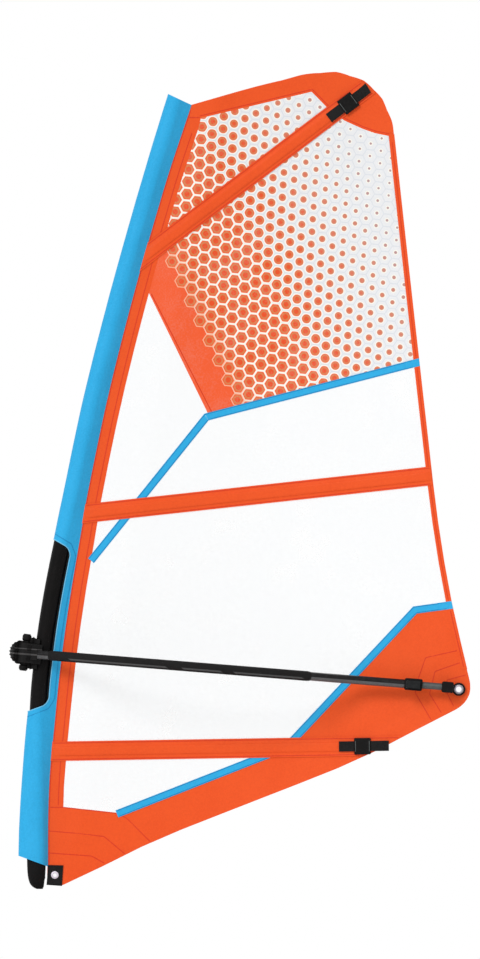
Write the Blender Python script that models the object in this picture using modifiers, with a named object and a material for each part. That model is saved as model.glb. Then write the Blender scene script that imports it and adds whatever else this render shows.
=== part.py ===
"""A child's windsurf rig: a curved mast in a luff sleeve, a one square metre sail and a wishbone boom.

Metres, +Z up the mast, +X aft, port side at -Y. The sail lies near the plane Y = 0 and bellies to
starboard.
The origin is the middle of the flat under the mast boot.
"""

import bisect
import math

import bmesh
import bpy
from mathutils import Matrix, Vector

# Fits
GAP = 0.0003
WELD = 0.000002
SEAM_GAP = 0.00015
SLIDE_EASE = 0.0006
# How far a short cutter, and a long one, runs past what it cuts
SHORT_PAST = 0.004
LONG_PAST = 0.010
SLOPE_STEP = 0.010

# The top of the luff, at the seam; heights near the head are measured from it
LUFF_TOP = 1.568

# Mast
MAST_DIAMETER = 0.034
MAST_WALL = 0.002
MAST_START = 0.0205
MAST_JOINT = 0.850
MAST_HEAD_ROOM = 0.006
FERRULE_REACH = 0.080
FERRULE_WALL = 0.0025
CAP_HEIGHT = 0.004
CAP_SPIGOT = 0.025
CAP_CHAMFER = 0.0015
# The mast's bend: heights as shares of the top of the luff, and how far aft the centre line is there
MAST_HEIGHT_SHARE = [0.0, 0.08801, 0.19005, 0.26658, 0.36862, 0.49617, 0.62372, 0.75128, 0.87883, 1.00638]
MAST_AFT = [-0.0054, -0.0074, -0.0050, 0.0010, 0.0228, 0.0634, 0.1060, 0.1562, 0.2122, 0.2722]

# Rubber boot: height, front and aft edges, half width
BOOT = [
    (0.000, -0.0058, 0.0058, 0.0090),
    (0.0046, -0.0142, 0.0080, 0.0135),
    (0.0146, -0.0210, 0.0094, 0.0170),
    (0.038, -0.0248, 0.0118, 0.0187),
    (0.096, -0.0258, 0.0122, 0.0190),
]
BOOT_SIDES = 16
BOOT_SOCKET_PAST = 0.020

# Luff sleeve
SLEEVE_CLOTH = 0.0008
SLEEVE_EASE = 0.0010
SLEEVE_TIP = 0.001
# The bore's set-backs from the seam, and its narrower tip, as shares of the cloth
BORE_SET_BACK = 1.2
BORE_TIP_SET_BACK = 1.3
BORE_TIP_SHARE = 0.7
MOUTH_PAST = 0.1
SLEEVE_END_CLEAR = 0.030
SLEEVE_ARC_STEPS = 9
# Height and distance from the mast's centre line to the seam, below and at the sleeve's narrow part
SLEEVE_BACK_LOW = [
    (0.046, 0.0215),
    (0.218, 0.0250),
    (0.378, 0.0350),
    (0.538, 0.0362),
    (0.698, 0.0324),
    (0.790, 0.0283),
]
SLEEVE_FLARE = 0.168
SLEEVE_BACK_AT_TOP = 0.0330
# The loose lower sleeve: height, reach ahead of the mast's centre line, half width
LOWER_SLEEVE = [
    (0.066, 0.0358, 0.0210),
    (0.140, 0.0330, 0.0206),
    (0.218, 0.0288, 0.0200),
    (0.298, 0.0244, 0.0194),
    (0.355, 0.0206, 0.0190),
]
LOWER_MOUTH_FRONT = 0.0664
LOWER_MOUTH_AFT = 0.0450
# The cutout's ends at the aft edge, and how far the front runs past them
CUTOUT_BOTTOM_AFT = 0.376
CUTOUT_BOTTOM_DIP = 0.021
CUTOUT_TOP_AFT = 0.672
CUTOUT_TOP_RISE = 0.028
CUTOUT_SET_BACK = 0.0216
BINDING_DIAMETER = 0.002
SLEEVE_HEAD_RISE = 0.022

# Sail outline
# Distance aft, and height above the top of the luff
HEAD_RISE = [
    (0.7076, -0.050),
    (0.6946, -0.010),
    (0.6686, 0.030),
    (0.6206, 0.058),
    (0.5606, 0.064),
    (0.4826, 0.049),
    (0.3960, 0.027),
]
# Height and distance aft of the leech, up to where the head begins
LEECH_LOW = [
    (0.418, 0.8596),
    (0.578, 0.8226),
    (0.738, 0.7956),
    (0.898, 0.7766),
    (1.218, 0.7406),
]
CLEW_CORNER = [(0.8306, 0.358), (0.8506, 0.374), (0.8588, 0.388), (0.8612, 0.401)]
# Distance aft and height of the foot
FOOT = [
    (0.0466, 0.008),
    (0.1106, 0.038),
    (0.2336, 0.098),
    (0.4346, 0.178),
    (0.6346, 0.258),
    (0.7526, 0.318),
    (0.8306, 0.358),
]
TACK_BASE = (0.0146, 0.010)
RUN_STEP = 0.080
RUN_LEAST = 0.002

# Sail layers, from the middle of the cloth to port
CLOTH = 0.0005
BATTEN_THICKNESS = 0.0018
STRAP_THICKNESS = 0.0012
BUCKLE_THICKNESS = 0.002

# Panels and the lines between them, as distance aft and height; a rise is from the top of the luff
LUFF_PANEL_WIDTH = 0.031
TACK_SHOULDER = 0.164
TACK_POINT = (0.1542, 0.152)
TACK_SPLIT = [(0.1746, 0.141), (0.2222, 0.0935)]
PRINT_HEM_DROP = 0.1011
PRINT_HEM_FOOT = (0.3374, 0.9492)
HEAD_CORNER_DROP = 0.020
HEAD_CORNER_RISE = 0.006
HEAD_PANEL_RISE = [
    (0.3224, -0.0260),
    (0.5438, 0.0264),
    (0.5760, -0.0064),
    (0.6098, -0.0314),
    (0.6456, -0.0476),
    (0.6706, -0.0564),
    (0.6974, -0.0618),
]
TAPE_WIDTH = 0.0155
UPPER_TAPE = [(0.3336, 0.9440), (0.7640, 1.0550)]
LUFF_TAPE_END = (0.1006, 0.654)
CLEW_TAPE = [(0.8300, 0.5690), (0.7506, 0.5580), (0.4926, 0.2830)]
FOOT_TAPE_END = (0.1542, 0.1500)
BINDING_WIDTH = 0.011
LEECH_BINDING_STARTS = 0.440
LEECH_BINDING_DROP = 0.068

# Batten pockets: a point near the luff and one near the leech on each centre line
UPPER_BATTEN_RISE = [(0.2796, -0.250), (0.5436, -0.050)]
MIDDLE_BATTEN_LINE = [(0.1306, 0.7552), (0.7806, 0.826)]
LOWER_BATTEN_LINE = [(0.0556, 0.2758), (0.6906, 0.286)]
UPPER_POCKET_WIDTH = 0.0368
MIDDLE_POCKET_WIDTH = 0.0380
LOWER_POCKET_WIDTH = 0.0390
BATTEN_WIDTH = 0.014
POCKET_EASE = 0.001
POCKET_SET_BACK = 0.006
BATTEN_START = 0.018
BATTEN_STOP = 0.004

# Batten tensioners: the buckle's place, as distance aft and height
UPPER_BUCKLE_RISE = (0.6172, 0.0032)
LOWER_BUCKLE_AT = (0.6454, 0.2856)
STRAP_WIDTH = 0.0205
UPPER_STRAP_REACH = (-0.049, 0.049)
LOWER_STRAP_REACH = (-0.047, 0.053)
BUCKLE_SIDE = 0.033
BUCKLE_BEVEL = 0.0012

# Camber: distance aft of the luff chord's foremost parallel, and belly to starboard
CHORD_FOOT = (0.0146, 0.046)
CHORD_HEAD_AFT = 0.3026
CHORD_SET_BACK = 0.059
CAMBER = [
    (0.100, 0.0),
    (0.150, 0.007),
    (0.220, 0.015),
    (0.325, 0.022),
    (0.415, 0.023),
    (0.500, 0.0195),
    (0.580, 0.014),
    (0.695, 0.006),
    (0.785, 0.0),
]

# Tack and clew fittings
TACK_PATCH = [(0.0168, 0.0482), (0.0474, 0.0474), (0.0448, 0.0058), (0.0134, 0.0080)]
TACK_PATCH_THICKNESS = 0.0015
TACK_EYELET_AT = (0.0302, 0.028)
TACK_EYELET_RIM = 0.0076
TACK_EYELET_BORE = 0.0034
TACK_EYELET_BARREL = 0.0050
TACK_EYELET_PROUD = 0.001
TACK_EYELET_ROLL = [0.5, 0.8]
CLEW_AT = (0.8382, 0.3994)
CLEW_RING_RADIUS = 0.0132
CLEW_EYELET_RIM = 0.0098
CLEW_EYELET_BARREL = 0.0077
CLEW_EYELET_BORE = 0.0055
CLEW_RING_PROUD = 0.008
CLEW_RING_EDGE = 0.0008
CLEW_EYELET_PROUD = 0.0065
CLEW_EYELET_ROLL = [0.001, 0.002]

# Boom
BOOM_HEIGHT = 0.468
# How far above the clew's middle the boom's line passes it
CLEW_LINE_RISE = 0.0024
ARM_DIAMETER = 0.0174
ARM_WALL = 0.0014
ARM_START = -0.0117
ARM_SPREAD_AT_HEAD = 0.033
ARM_SPREAD_AT_TAIL = 0.024
ARM_END = 0.757
# Distance aft and half spread of the bowed part of an arm
ARM_BOW = [
    (0.045, 0.055),
    (0.115, 0.098),
    (0.220, 0.131),
    (0.345, 0.140),
    (0.455, 0.119),
    (0.545, 0.073),
    (0.610, 0.034),
]
ARM_STRAIGHT_AT_HEAD = 0.016
ARM_STRAIGHT_FROM = 0.655
ARM_SIDES = 12
GRIP_STARTS = 0.014
GRIP_ENDS = 0.534
GRIP_WALL = 0.0009
LEG_DIAMETER = 0.0138
LEG_WALL = 0.0014
LEG_START = 0.695
LEG_END = 0.812

# Clamp collars on the arms
COLLAR_LENGTH = 0.036
COLLAR_HEIGHT = 0.024
COLLAR_WALL = 0.0034
COLLAR_LIP = 0.004
COLLAR_BEVEL = 0.0033
LEVER_PIN_RADIUS = 0.0013
LEVER_BARREL_RADIUS = 0.0032
LEVER_PIN_SET_BACK = 0.0055
LEVER_HEIGHT = 0.0150
LEVER_THICKNESS = 0.0034
LEVER_LENGTH = 0.026
EAR_THICKNESS = 0.0026
EAR_WALL = 0.0020
EAR_ROOT = 0.004

# End fittings
FITTING_START = 0.800
FITTING_HEIGHT = 0.022
FITTING_PAST_RING = 0.0025
FITTING_WALL = 0.0045
FITTING_BEVEL = 0.003

# Boom head, measured from the mast's centre line along the mast's own lean
HEAD_HALF_HEIGHT = 0.0197
HEAD_CHEEK = 0.0026
HEAD_PIN_AHEAD = 0.036
HEAD_PIN_RADIUS = 0.004
NOSE_RADIUS = 0.020
LEVER_REACH = 0.033
LEVER_PLATE = 0.0035
LEVER_SWEEP = math.radians(45)
LEVER_HUB = 0.008
LEVER_WAIST = 0.6
LEVER_CROWN = 0.0243
BOOM_EASE = 0.0009
PAD_THICKNESS = 0.0027
PAD_SPREAD = math.radians(62)
BAND_SPREAD = math.radians(112)
BAND_HALF_HEIGHT = 0.009
SADDLE_BACK = 0.003
YOKE_THICKNESS = 0.012
YOKE_HALF_HEIGHT = 0.0115
YOKE_OVERHANG = 0.0006
KNOB_RADIUS = 0.009
KNOB_TOP = 0.038
KNOB_CAP = 0.004
KNOB_EDGE = 0.0025
KNOB_CROWN = 0.004
HEAD_CUTTER_REACH = 0.060
LEVER_CUTTER_BACK = 0.030
PIN_FOOT = 0.036
ARC_STEPS = 12
ROUND_SIDES = 24

# Worked out from the sizes above
MAST_AXIS = [(share * LUFF_TOP, aft) for share, aft in zip(MAST_HEIGHT_SHARE, MAST_AFT)]
SLEEVE_BACK = SLEEVE_BACK_LOW + [
    (LUFF_TOP - SLEEVE_FLARE, SLEEVE_BACK_LOW[-1][1]),
    (LUFF_TOP, SLEEVE_BACK_AT_TOP),
]
HEAD = [(aft, LUFF_TOP + rise) for aft, rise in HEAD_RISE]
HEAD_PANEL_EDGE = [(aft, LUFF_TOP + rise) for aft, rise in HEAD_PANEL_RISE]
LEECH = LEECH_LOW + [(HEAD[0][1], HEAD[0][0])]
UPPER_BATTEN_LINE = [(aft, LUFF_TOP + rise) for aft, rise in UPPER_BATTEN_RISE]
UPPER_BUCKLE_AT = (UPPER_BUCKLE_RISE[0], LUFF_TOP + UPPER_BUCKLE_RISE[1])
CHORD_HEAD = (CHORD_HEAD_AFT, LUFF_TOP)
MAST_RADIUS = MAST_DIAMETER / 2
MAST_END = LUFF_TOP - MAST_HEAD_ROOM
SLEEVE_RADIUS = MAST_RADIUS + SLEEVE_EASE + SLEEVE_CLOTH
CUTOUT_BOTTOM_FRONT = CUTOUT_BOTTOM_AFT - CUTOUT_BOTTOM_DIP
CUTOUT_TOP_FRONT = CUTOUT_TOP_AFT + CUTOUT_TOP_RISE
CLOTH_FACE = CLOTH / 2
TAPE_NEAR = CLOTH_FACE + GAP
TAPE_FACE = TAPE_NEAR + CLOTH
POCKET_NEAR = TAPE_FACE + GAP
POCKET_FACE = POCKET_NEAR + CLOTH
BATTEN_FACE = POCKET_NEAR + BATTEN_THICKNESS
CROWN_NEAR = BATTEN_FACE + GAP
CROWN_FACE = CROWN_NEAR + CLOTH
STRAP_NEAR = CROWN_FACE + GAP
STRAP_FACE = STRAP_NEAR + STRAP_THICKNESS
BUCKLE_NEAR = STRAP_FACE + GAP
BUCKLE_FACE = BUCKLE_NEAR + BUCKLE_THICKNESS
CHANNEL_WIDTH = BATTEN_WIDTH + 2 * POCKET_EASE
CROWN_WIDTH = CHANNEL_WIDTH + 2 * CLOTH
PAD_INNER = MAST_RADIUS + BOOM_EASE
PAD_OUTER = PAD_INNER + PAD_THICKNESS
SADDLE_RADIUS = PAD_OUTER + GAP
ARM_RADIUS = ARM_DIAMETER / 2
LEG_RADIUS = LEG_DIAMETER / 2
CHEEK_START = ARM_START - GAP - YOKE_THICKNESS


def clear_scene():
    for obj in list(bpy.data.objects):
        bpy.data.objects.remove(obj, do_unlink=True)


def collection(name):
    made = bpy.data.collections.new(name)
    bpy.context.scene.collection.children.link(made)
    return made


clear_scene()
RIG = collection("windsurf_rig")
CUTTERS = collection("cutters")


def paint(name, colour, roughness, metallic=0.0, alpha=1.0):
    """A Principled material; the colour is the 8-bit one seen in daylight."""
    material = bpy.data.materials.new(name)
    material.use_nodes = True
    shader = material.node_tree.nodes["Principled BSDF"]
    linear = [((c / 255 + 0.055) / 1.055) ** 2.4 for c in colour]
    shader.inputs["Base Color"].default_value = (*linear, 1)
    shader.inputs["Roughness"].default_value = roughness
    shader.inputs["Metallic"].default_value = metallic
    shader.inputs["Alpha"].default_value = alpha
    material.diffuse_color = (*linear, alpha)
    return material


ORANGE = paint("orange_cloth", (241, 91, 42), 0.55)
BLUE = paint("blue_cloth", (41, 171, 226), 0.6)
PRINTED = paint("printed_cloth", (243, 243, 238), 0.5)
FILM = paint("clear_film", (236, 242, 246), 0.08, alpha=0.3)
MAST_BLACK = paint("black_laminate", (33, 31, 31), 0.3)
RUBBER = paint("black_rubber", (30, 29, 29), 0.8)
PLASTIC = paint("black_plastic", (34, 33, 34), 0.45)
WEBBING = paint("black_webbing", (28, 27, 28), 0.85)
FOAM = paint("black_foam", (36, 35, 36), 0.9)
TUBE = paint("black_anodised", (48, 48, 50), 0.35, metallic=0.6)
GREY = paint("grey_anodised", (110, 115, 115), 0.35, metallic=0.8)
SILVER = paint("stainless", (205, 208, 212), 0.25, metallic=1.0)
GLASS_FIBRE = paint("glass_fibre", (214, 208, 190), 0.5)


def empty(name, matrix):
    frame = bpy.data.objects.new(name, None)
    frame.matrix_world = matrix
    RIG.objects.link(frame)
    return frame


def node_from(name, bm, material, parent=None, at=(0, 0, 0), cutter=False):
    """An object from a bmesh, smooth where its faces nearly agree."""
    bmesh.ops.recalc_face_normals(bm, faces=bm.faces)
    mesh = bpy.data.meshes.new(name)
    bm.to_mesh(mesh)
    bm.free()
    obj = bpy.data.objects.new(name, mesh)
    obj.location = at
    obj.parent = parent
    if cutter:
        CUTTERS.objects.link(obj)
        obj.hide_render = True
        obj.display_type = "WIRE"
        return obj
    mesh.materials.append(material)
    mesh.shade_smooth()
    mesh.set_sharp_from_angle(angle=math.radians(35))
    RIG.objects.link(obj)
    return obj


def boolean(obj, other, operation):
    cut = obj.modifiers.new(other.name, "BOOLEAN")
    cut.operation = operation
    cut.solver = "EXACT"
    cut.object = other


def bevelled(obj, width, segments=1):
    edge = obj.modifiers.new("edges", "BEVEL")
    edge.width = width
    edge.segments = segments
    edge.limit_method = "ANGLE"
    edge.angle_limit = math.radians(50)


def box(name, low, high, material, parent=None, cutter=False, at=(0, 0, 0)):
    bm = bmesh.new()
    bmesh.ops.create_cube(bm, size=1)
    low, high = Vector(low), Vector(high)
    bmesh.ops.scale(bm, vec=high - low, verts=bm.verts)
    bmesh.ops.translate(bm, vec=(low + high) / 2, verts=bm.verts)
    return node_from(name, bm, material, parent, at, cutter)


TURNED_TO = {
    "X": Matrix.Rotation(math.pi / 2, 3, "Y"),
    "Y": Matrix.Rotation(math.pi / 2, 3, "X"),
    "Z": Matrix.Identity(3),
}


def rod(name, radius, ends, along, material, parent=None, at=(0, 0, 0), cutter=False, sides=ROUND_SIDES):
    """A cylinder along X, Y or Z, between its two ends on that axis."""
    start, end = ends
    bm = bmesh.new()
    bmesh.ops.create_cone(
        bm, cap_ends=True, segments=sides, radius1=radius, radius2=radius, depth=end - start
    )
    bmesh.ops.rotate(bm, cent=(0, 0, 0), matrix=TURNED_TO[along], verts=bm.verts)
    middle = Vector([(start + end) / 2 if axis == along else 0 for axis in "XYZ"])
    bmesh.ops.translate(bm, vec=middle, verts=bm.verts)
    return node_from(name, bm, material, parent, at, cutter)


def turned(name, profile, material, parent=None, at=(0, 0, 0), sides=16, closed=False, lying=False):
    """A turned shape from (radius, height) pairs; lying turns its axis to Y."""
    bm = bmesh.new()
    verts = [bm.verts.new((radius, 0, height)) for radius, height in profile]
    for first, second in zip(verts, verts[1:]):
        bm.edges.new((first, second))
    if closed:
        bm.edges.new((verts[-1], verts[0]))
    obj = node_from(name, bm, material, parent, at)
    if lying:
        obj.rotation_euler.x = math.pi / 2
    screw = obj.modifiers.new("turn", "SCREW")
    screw.steps = screw.render_steps = sides
    screw.use_merge_vertices = True
    screw.merge_threshold = 0.00001
    return obj


def mesh_of_curve(curve, name):
    """The welded mesh of a curve, with the curve removed."""
    maker = bpy.data.objects.new(name, curve)
    CUTTERS.objects.link(maker)
    graph = bpy.context.evaluated_depsgraph_get()
    mesh = bpy.data.meshes.new_from_object(maker.evaluated_get(graph))
    bm = bmesh.new()
    bm.from_mesh(mesh)
    bmesh.ops.remove_doubles(bm, verts=bm.verts, dist=WELD)
    bpy.data.objects.remove(maker, do_unlink=True)
    bpy.data.meshes.remove(mesh)
    return bm


def poly_curve(name, loops, dimensions, cyclic):
    curve = bpy.data.curves.new(name, "CURVE")
    curve.dimensions = dimensions
    for points in loops:
        spline = curve.splines.new("POLY")
        spline.points.add(len(points) - 1)
        for point, place in zip(spline.points, points):
            point.co = (*place, 0, 1)[:4] if len(place) == 2 else (*place, 1)
        spline.use_cyclic_u = cyclic
    return curve


def swept(name, points, radius, sides, material, parent=None, cutter=False):
    """A round bar along a line of points."""
    curve = poly_curve(name, [points], "3D", False)
    curve.bevel_depth = radius
    curve.bevel_resolution = (sides - 4) // 2
    curve.use_fill_caps = True
    return node_from(name, mesh_of_curve(curve, name), material, parent, cutter=cutter)


def extended(points, length):
    """The line with both ends drawn out."""
    points = [Vector(p) for p in points]
    first = points[0] + (points[0] - points[1]).normalized() * length
    last = points[-1] + (points[-1] - points[-2]).normalized() * length
    return [first, *points, last]


def tube(name, points, radius, wall, sides, material, parent=None):
    bar = swept(name, points, radius, sides, material, parent)
    past = extended(points, SHORT_PAST)
    bore = swept(name + "_bore", past, radius - wall, sides, None, parent, cutter=True)
    boolean(bar, bore, "DIFFERENCE")
    return bar


def smooth(table):
    """A smooth curve through a short table of pairs, as a function of the first number."""
    places = [row[0] for row in table]
    values = [row[1] for row in table]
    last = len(table) - 1
    slopes = []
    for i in range(len(table)):
        low, high = max(i - 1, 0), min(i + 1, last)
        slopes.append((values[high] - values[low]) / (places[high] - places[low]))

    def value(place):
        i = min(max(bisect.bisect_right(places, place) - 1, 0), last - 1)
        span = places[i + 1] - places[i]
        t = (place - places[i]) / span
        if not 0 <= t <= 1:
            end = min(max(round(t), 0), 1)
            return values[i + end] + slopes[i + end] * (place - places[i + end])
        return (
            values[i] * (2 * t**3 - 3 * t**2 + 1)
            + slopes[i] * span * (t**3 - 2 * t**2 + t)
            + values[i + 1] * (3 * t**2 - 2 * t**3)
            + slopes[i + 1] * span * (t**3 - t**2)
        )

    return value


def rounded_line(points, steps):
    """A Catmull-Rom line through the points."""
    points = [Vector(p) for p in points]
    line = []
    for i in range(len(points) - 1):
        a, b, c, d = (points[min(max(i + k, 0), len(points) - 1)] for k in (-1, 0, 1, 2))
        for step in range(steps):
            t = step / steps
            bend = (2 * a - 5 * b + 4 * c - d) * t**2 + (3 * b - a - 3 * c + d) * t**3
            line.append((2 * b + (c - a) * t + bend) / 2)
    return line + [points[-1]]


def stations(low, high, step=RUN_STEP):
    count = max(1, round((high - low) / step))
    return [low + (high - low) * i / count for i in range(count + 1)]


def between_stops(stops, low, high):
    return [low] + [stop for stop in stops if low + RUN_LEAST < stop < high - RUN_LEAST] + [high]


def straight_between(stops, value):
    """The function made straight from each stop to the next, so that pieces that share an edge agree."""
    values = [value(stop) for stop in stops]

    def at(place):
        i = min(max(bisect.bisect_right(stops, place) - 1, 0), len(stops) - 2)
        share = (place - stops[i]) / (stops[i + 1] - stops[i])
        return values[i] + share * (values[i + 1] - values[i])

    return at


mast_x = smooth(MAST_AXIS)
sleeve_back = smooth(SLEEVE_BACK)
SEAM_STOPS = stations(LOWER_MOUTH_AFT, LUFF_TOP)
LEECH_STOPS = stations(LEECH[0][0], LEECH[-1][0])
FOOT_STOPS = stations(FOOT[0][0], FOOT[-1][0])
seam_x = straight_between(SEAM_STOPS, lambda z: mast_x(z) + sleeve_back(z))
leech_x = straight_between(LEECH_STOPS, smooth(LEECH))
foot_z = straight_between(FOOT_STOPS, smooth(FOOT))


def seam_run(low, high, aft=0.0):
    return [Vector((seam_x(z) + aft, z)) for z in between_stops(SEAM_STOPS, low, high)]


def leech_run(low, high, aft=0.0):
    return [Vector((leech_x(z) + aft, z)) for z in between_stops(LEECH_STOPS, low, high)]


def foot_run(low, high):
    return [Vector((x, foot_z(x))) for x in between_stops(FOOT_STOPS, low, high)]


def meet(line, start, end):
    """Where the straight through start and end crosses the line, nearest to end."""
    start, end = Vector(start), Vector(end)
    along = end - start
    found = []
    for a, b in zip(line, line[1:]):
        a, b = Vector(a), Vector(b)
        side = b - a
        turn = along.x * side.y - along.y * side.x
        if not turn:
            continue
        t = ((a - start).x * along.y - (a - start).y * along.x) / turn
        if -1e-9 <= t <= 1 + 1e-9:
            found.append(a + side * t)
    return min(found, key=lambda point: (point - end).length)


def inset(outline, by):
    """The closed outline drawn in by a distance."""
    outline = [Vector(p) for p in outline]
    area = sum(a.x * b.y - b.x * a.y for a, b in zip(outline, outline[1:] + outline[:1]))
    turn = 1 if area > 0 else -1
    drawn = []
    for i, point in enumerate(outline):
        before = (point - outline[i - 1]).normalized()
        after = (outline[(i + 1) % len(outline)] - point).normalized()
        first = Vector((-before.y, before.x)) * turn
        second = Vector((-after.y, after.x)) * turn
        drawn.append(point + (first + second) * (by / max(1 + first.dot(second), 0.3)))
    return drawn


def belly(obj):
    """Bends a flat sail piece to the camber, which is straight between the lines of the table."""
    chord = (Vector(CHORD_HEAD) - Vector(CHORD_FOOT)).normalized()
    aft = Vector((chord.y, 0, -chord.x))
    origin = Vector((CHORD_FOOT[0], 0, CHORD_FOOT[1])) - aft * CHORD_SET_BACK
    bm = bmesh.new()
    bm.from_mesh(obj.data)
    bmesh.ops.remove_doubles(bm, verts=bm.verts, dist=WELD)
    bmesh.ops.triangulate(bm, faces=bm.faces)
    for place, _ in CAMBER:
        geometry = bm.verts[:] + bm.edges[:] + bm.faces[:]
        bmesh.ops.bisect_plane(bm, geom=geometry, dist=1e-7, plane_co=origin + aft * place, plane_no=aft)
    for vert in bm.verts:
        vert.co.y += camber_at((vert.co - origin).dot(aft))
    bm.to_mesh(obj.data)
    bm.free()
    obj.data.shade_smooth()
    obj.data.set_sharp_from_angle(angle=math.radians(35))
    return obj


def camber_at(place):
    places = [row[0] for row in CAMBER]
    if place <= places[0] or place >= places[-1]:
        return 0.0
    i = bisect.bisect_right(places, place) - 1
    share = (place - places[i]) / (places[i + 1] - places[i])
    return CAMBER[i][1] + share * (CAMBER[i + 1][1] - CAMBER[i][1])


def circle(centre, radius, sides=ROUND_SIDES):
    turns = [2 * math.pi * i / sides for i in range(sides)]
    return [Vector((centre[0] + radius * math.cos(a), centre[1] + radius * math.sin(a))) for a in turns]


def flat_bmesh(outline, near, far, holes=()):
    """An outline in the X-Z plane with a thickness along Y, measured to port from the sail's middle."""
    curve = poly_curve("outline", [outline, *holes], "2D", True)
    curve.fill_mode = "BOTH"
    curve.extrude = abs(far - near) / 2
    bm = mesh_of_curve(curve, "outline")
    bmesh.ops.rotate(bm, cent=(0, 0, 0), matrix=Matrix.Rotation(math.pi / 2, 3, "X"), verts=bm.verts)
    bmesh.ops.translate(bm, vec=(0, -(near + far) / 2, 0), verts=bm.verts)
    return bm


def panel(name, outline, material, near=-CLOTH_FACE, far=CLOTH_FACE, gap=SEAM_GAP, holes=()):
    """A piece of sailcloth, bent to the camber."""
    bm = flat_bmesh(inset(outline, gap), near, far, holes)
    return belly(node_from(name, bm, material))


def applied(obj):
    """The object with its modifiers made part of its mesh."""
    graph = bpy.context.evaluated_depsgraph_get()
    mesh = bpy.data.meshes.new_from_object(obj.evaluated_get(graph))
    obj.modifiers.clear()
    obj.data = mesh
    return obj


def mast_line(low, high, step=0.040):
    return [Vector((mast_x(z), 0, z)) for z in stations(low, high, step)]


# The mast


def loft(rings):
    """A closed solid through rings of equally many points."""
    bm = bmesh.new()
    rows = [[bm.verts.new(point) for point in ring] for ring in rings]
    for low, high in zip(rows, rows[1:]):
        for i in range(len(low)):
            j = (i + 1) % len(low)
            bm.faces.new((low[i], low[j], high[j], high[i]))
    bm.faces.new(list(reversed(rows[0])))
    bm.faces.new(rows[-1])
    return bm


def make_boot():
    rings = []
    for height, front, aft, half_width in BOOT:
        middle, reach = (front + aft) / 2, (aft - front) / 2
        turns = [2 * math.pi * i / BOOT_SIDES for i in range(BOOT_SIDES)]
        rings.append([(middle + reach * math.cos(a), half_width * math.sin(a), height) for a in turns])
    boot = node_from("mast_foot_boot", loft(rings), RUBBER)
    socket = mast_line(MAST_START - GAP, BOOT[-1][0] + BOOT_SOCKET_PAST)
    bore = swept("boot_socket", socket, MAST_RADIUS + GAP, 16, None, cutter=True)
    boolean(boot, bore, "DIFFERENCE")


def make_mast():
    lower = mast_line(MAST_START, MAST_JOINT - GAP / 2)
    upper = mast_line(MAST_JOINT + GAP / 2, MAST_END)
    tube("mast_lower_tube", lower, MAST_RADIUS, MAST_WALL, 16, MAST_BLACK)
    tube("mast_upper_tube", upper, MAST_RADIUS, MAST_WALL, 16, MAST_BLACK)
    ferrule = mast_line(MAST_JOINT - FERRULE_REACH, MAST_JOINT + FERRULE_REACH)
    tube("mast_ferrule", ferrule, MAST_RADIUS - MAST_WALL - SLIDE_EASE, FERRULE_WALL, 16, GLASS_FIBRE)
    make_boot()
    lean = math.atan2(mast_x(MAST_END) - mast_x(MAST_END - SLOPE_STEP), SLOPE_STEP)
    top = Matrix.Translation((mast_x(MAST_END), 0, MAST_END))
    frame = empty("mast_end", top @ Matrix.Rotation(lean, 4, "Y"))
    spigot = MAST_RADIUS - MAST_WALL - 2 * GAP
    turned(
        "mast_top_cap",
        [
            (0, GAP + CAP_HEIGHT),
            (MAST_RADIUS - CAP_CHAMFER, GAP + CAP_HEIGHT),
            (MAST_RADIUS, CAP_HEIGHT - CAP_CHAMFER),
            (MAST_RADIUS, GAP),
            (spigot, GAP),
            (spigot, -CAP_SPIGOT),
            (0, -CAP_SPIGOT),
        ],
        PLASTIC,
        frame,
    )


# The luff sleeve


def teardrop(radius, tip):
    """Half of a sleeve's section, from the seam round to the front: distance aft and half width."""
    meets = math.acos(min(radius / tip, 0.99))
    turns = [meets + (math.pi - meets) * i / SLEEVE_ARC_STEPS for i in range(SLEEVE_ARC_STEPS + 1)]
    return [(radius * math.cos(a), radius * math.sin(a)) for a in turns]


def sleeve_ring(front, centre, aft, radius, inner):
    """A sleeve section as a closed ring of points, in the plane through three points on its middle line."""
    front, centre, aft = Vector(front), Vector(centre), Vector(aft)
    tip = (aft - centre).length
    reach = (front - centre).length
    thickness = SLEEVE_CLOTH if inner else 0
    half = teardrop(radius - thickness, tip - BORE_SET_BACK * thickness)
    half = [(tip - BORE_TIP_SET_BACK * thickness, SLEEVE_TIP - BORE_TIP_SHARE * thickness)] + half
    stretch = (reach - thickness) / (radius - thickness)
    ring = []
    for side in (1, -1):
        part = half if side > 0 else list(reversed(half))[1:]
        for along, across in part:
            if along > 0:
                place = centre + (aft - centre).normalized() * along
            else:
                place = centre + (front - centre).normalized() * (-along * stretch)
            ring.append((place.x, side * across, place.y))
    return ring


def sleeve_solid(name, sections):
    outer = node_from(name, loft([sleeve_ring(*s, inner=False) for s in sections]), BLUE)
    # The bore runs a little past both mouths.
    rings = [sleeve_ring(*s, inner=True) for s in sections]
    for end, beside in ((0, 1), (-1, -2)):
        pairs = [(Vector(p), Vector(q)) for p, q in zip(rings[end], rings[beside])]
        past = [p + (p - q) * MOUTH_PAST for p, q in pairs]
        rings.insert(0 if end == 0 else len(rings), past)
    bore = node_from(name + "_bore", loft(rings), None, cutter=True)
    boolean(outer, bore, "DIFFERENCE")
    return outer


def seam_section(aft_height, reach, radius):
    """A section square to the mast, through the seam at a height."""
    aft = Vector((seam_x(aft_height), aft_height))
    height = aft_height
    for _ in range(4):
        slope = (mast_x(height + SLOPE_STEP) - mast_x(height - SLOPE_STEP)) / (2 * SLOPE_STEP)
        height = aft_height + (aft.x - mast_x(height)) * slope
    centre = Vector((mast_x(height), height))
    ahead = (centre - aft).normalized()
    return (centre + ahead * reach, centre, aft + ahead * SEAM_GAP, radius)


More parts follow.
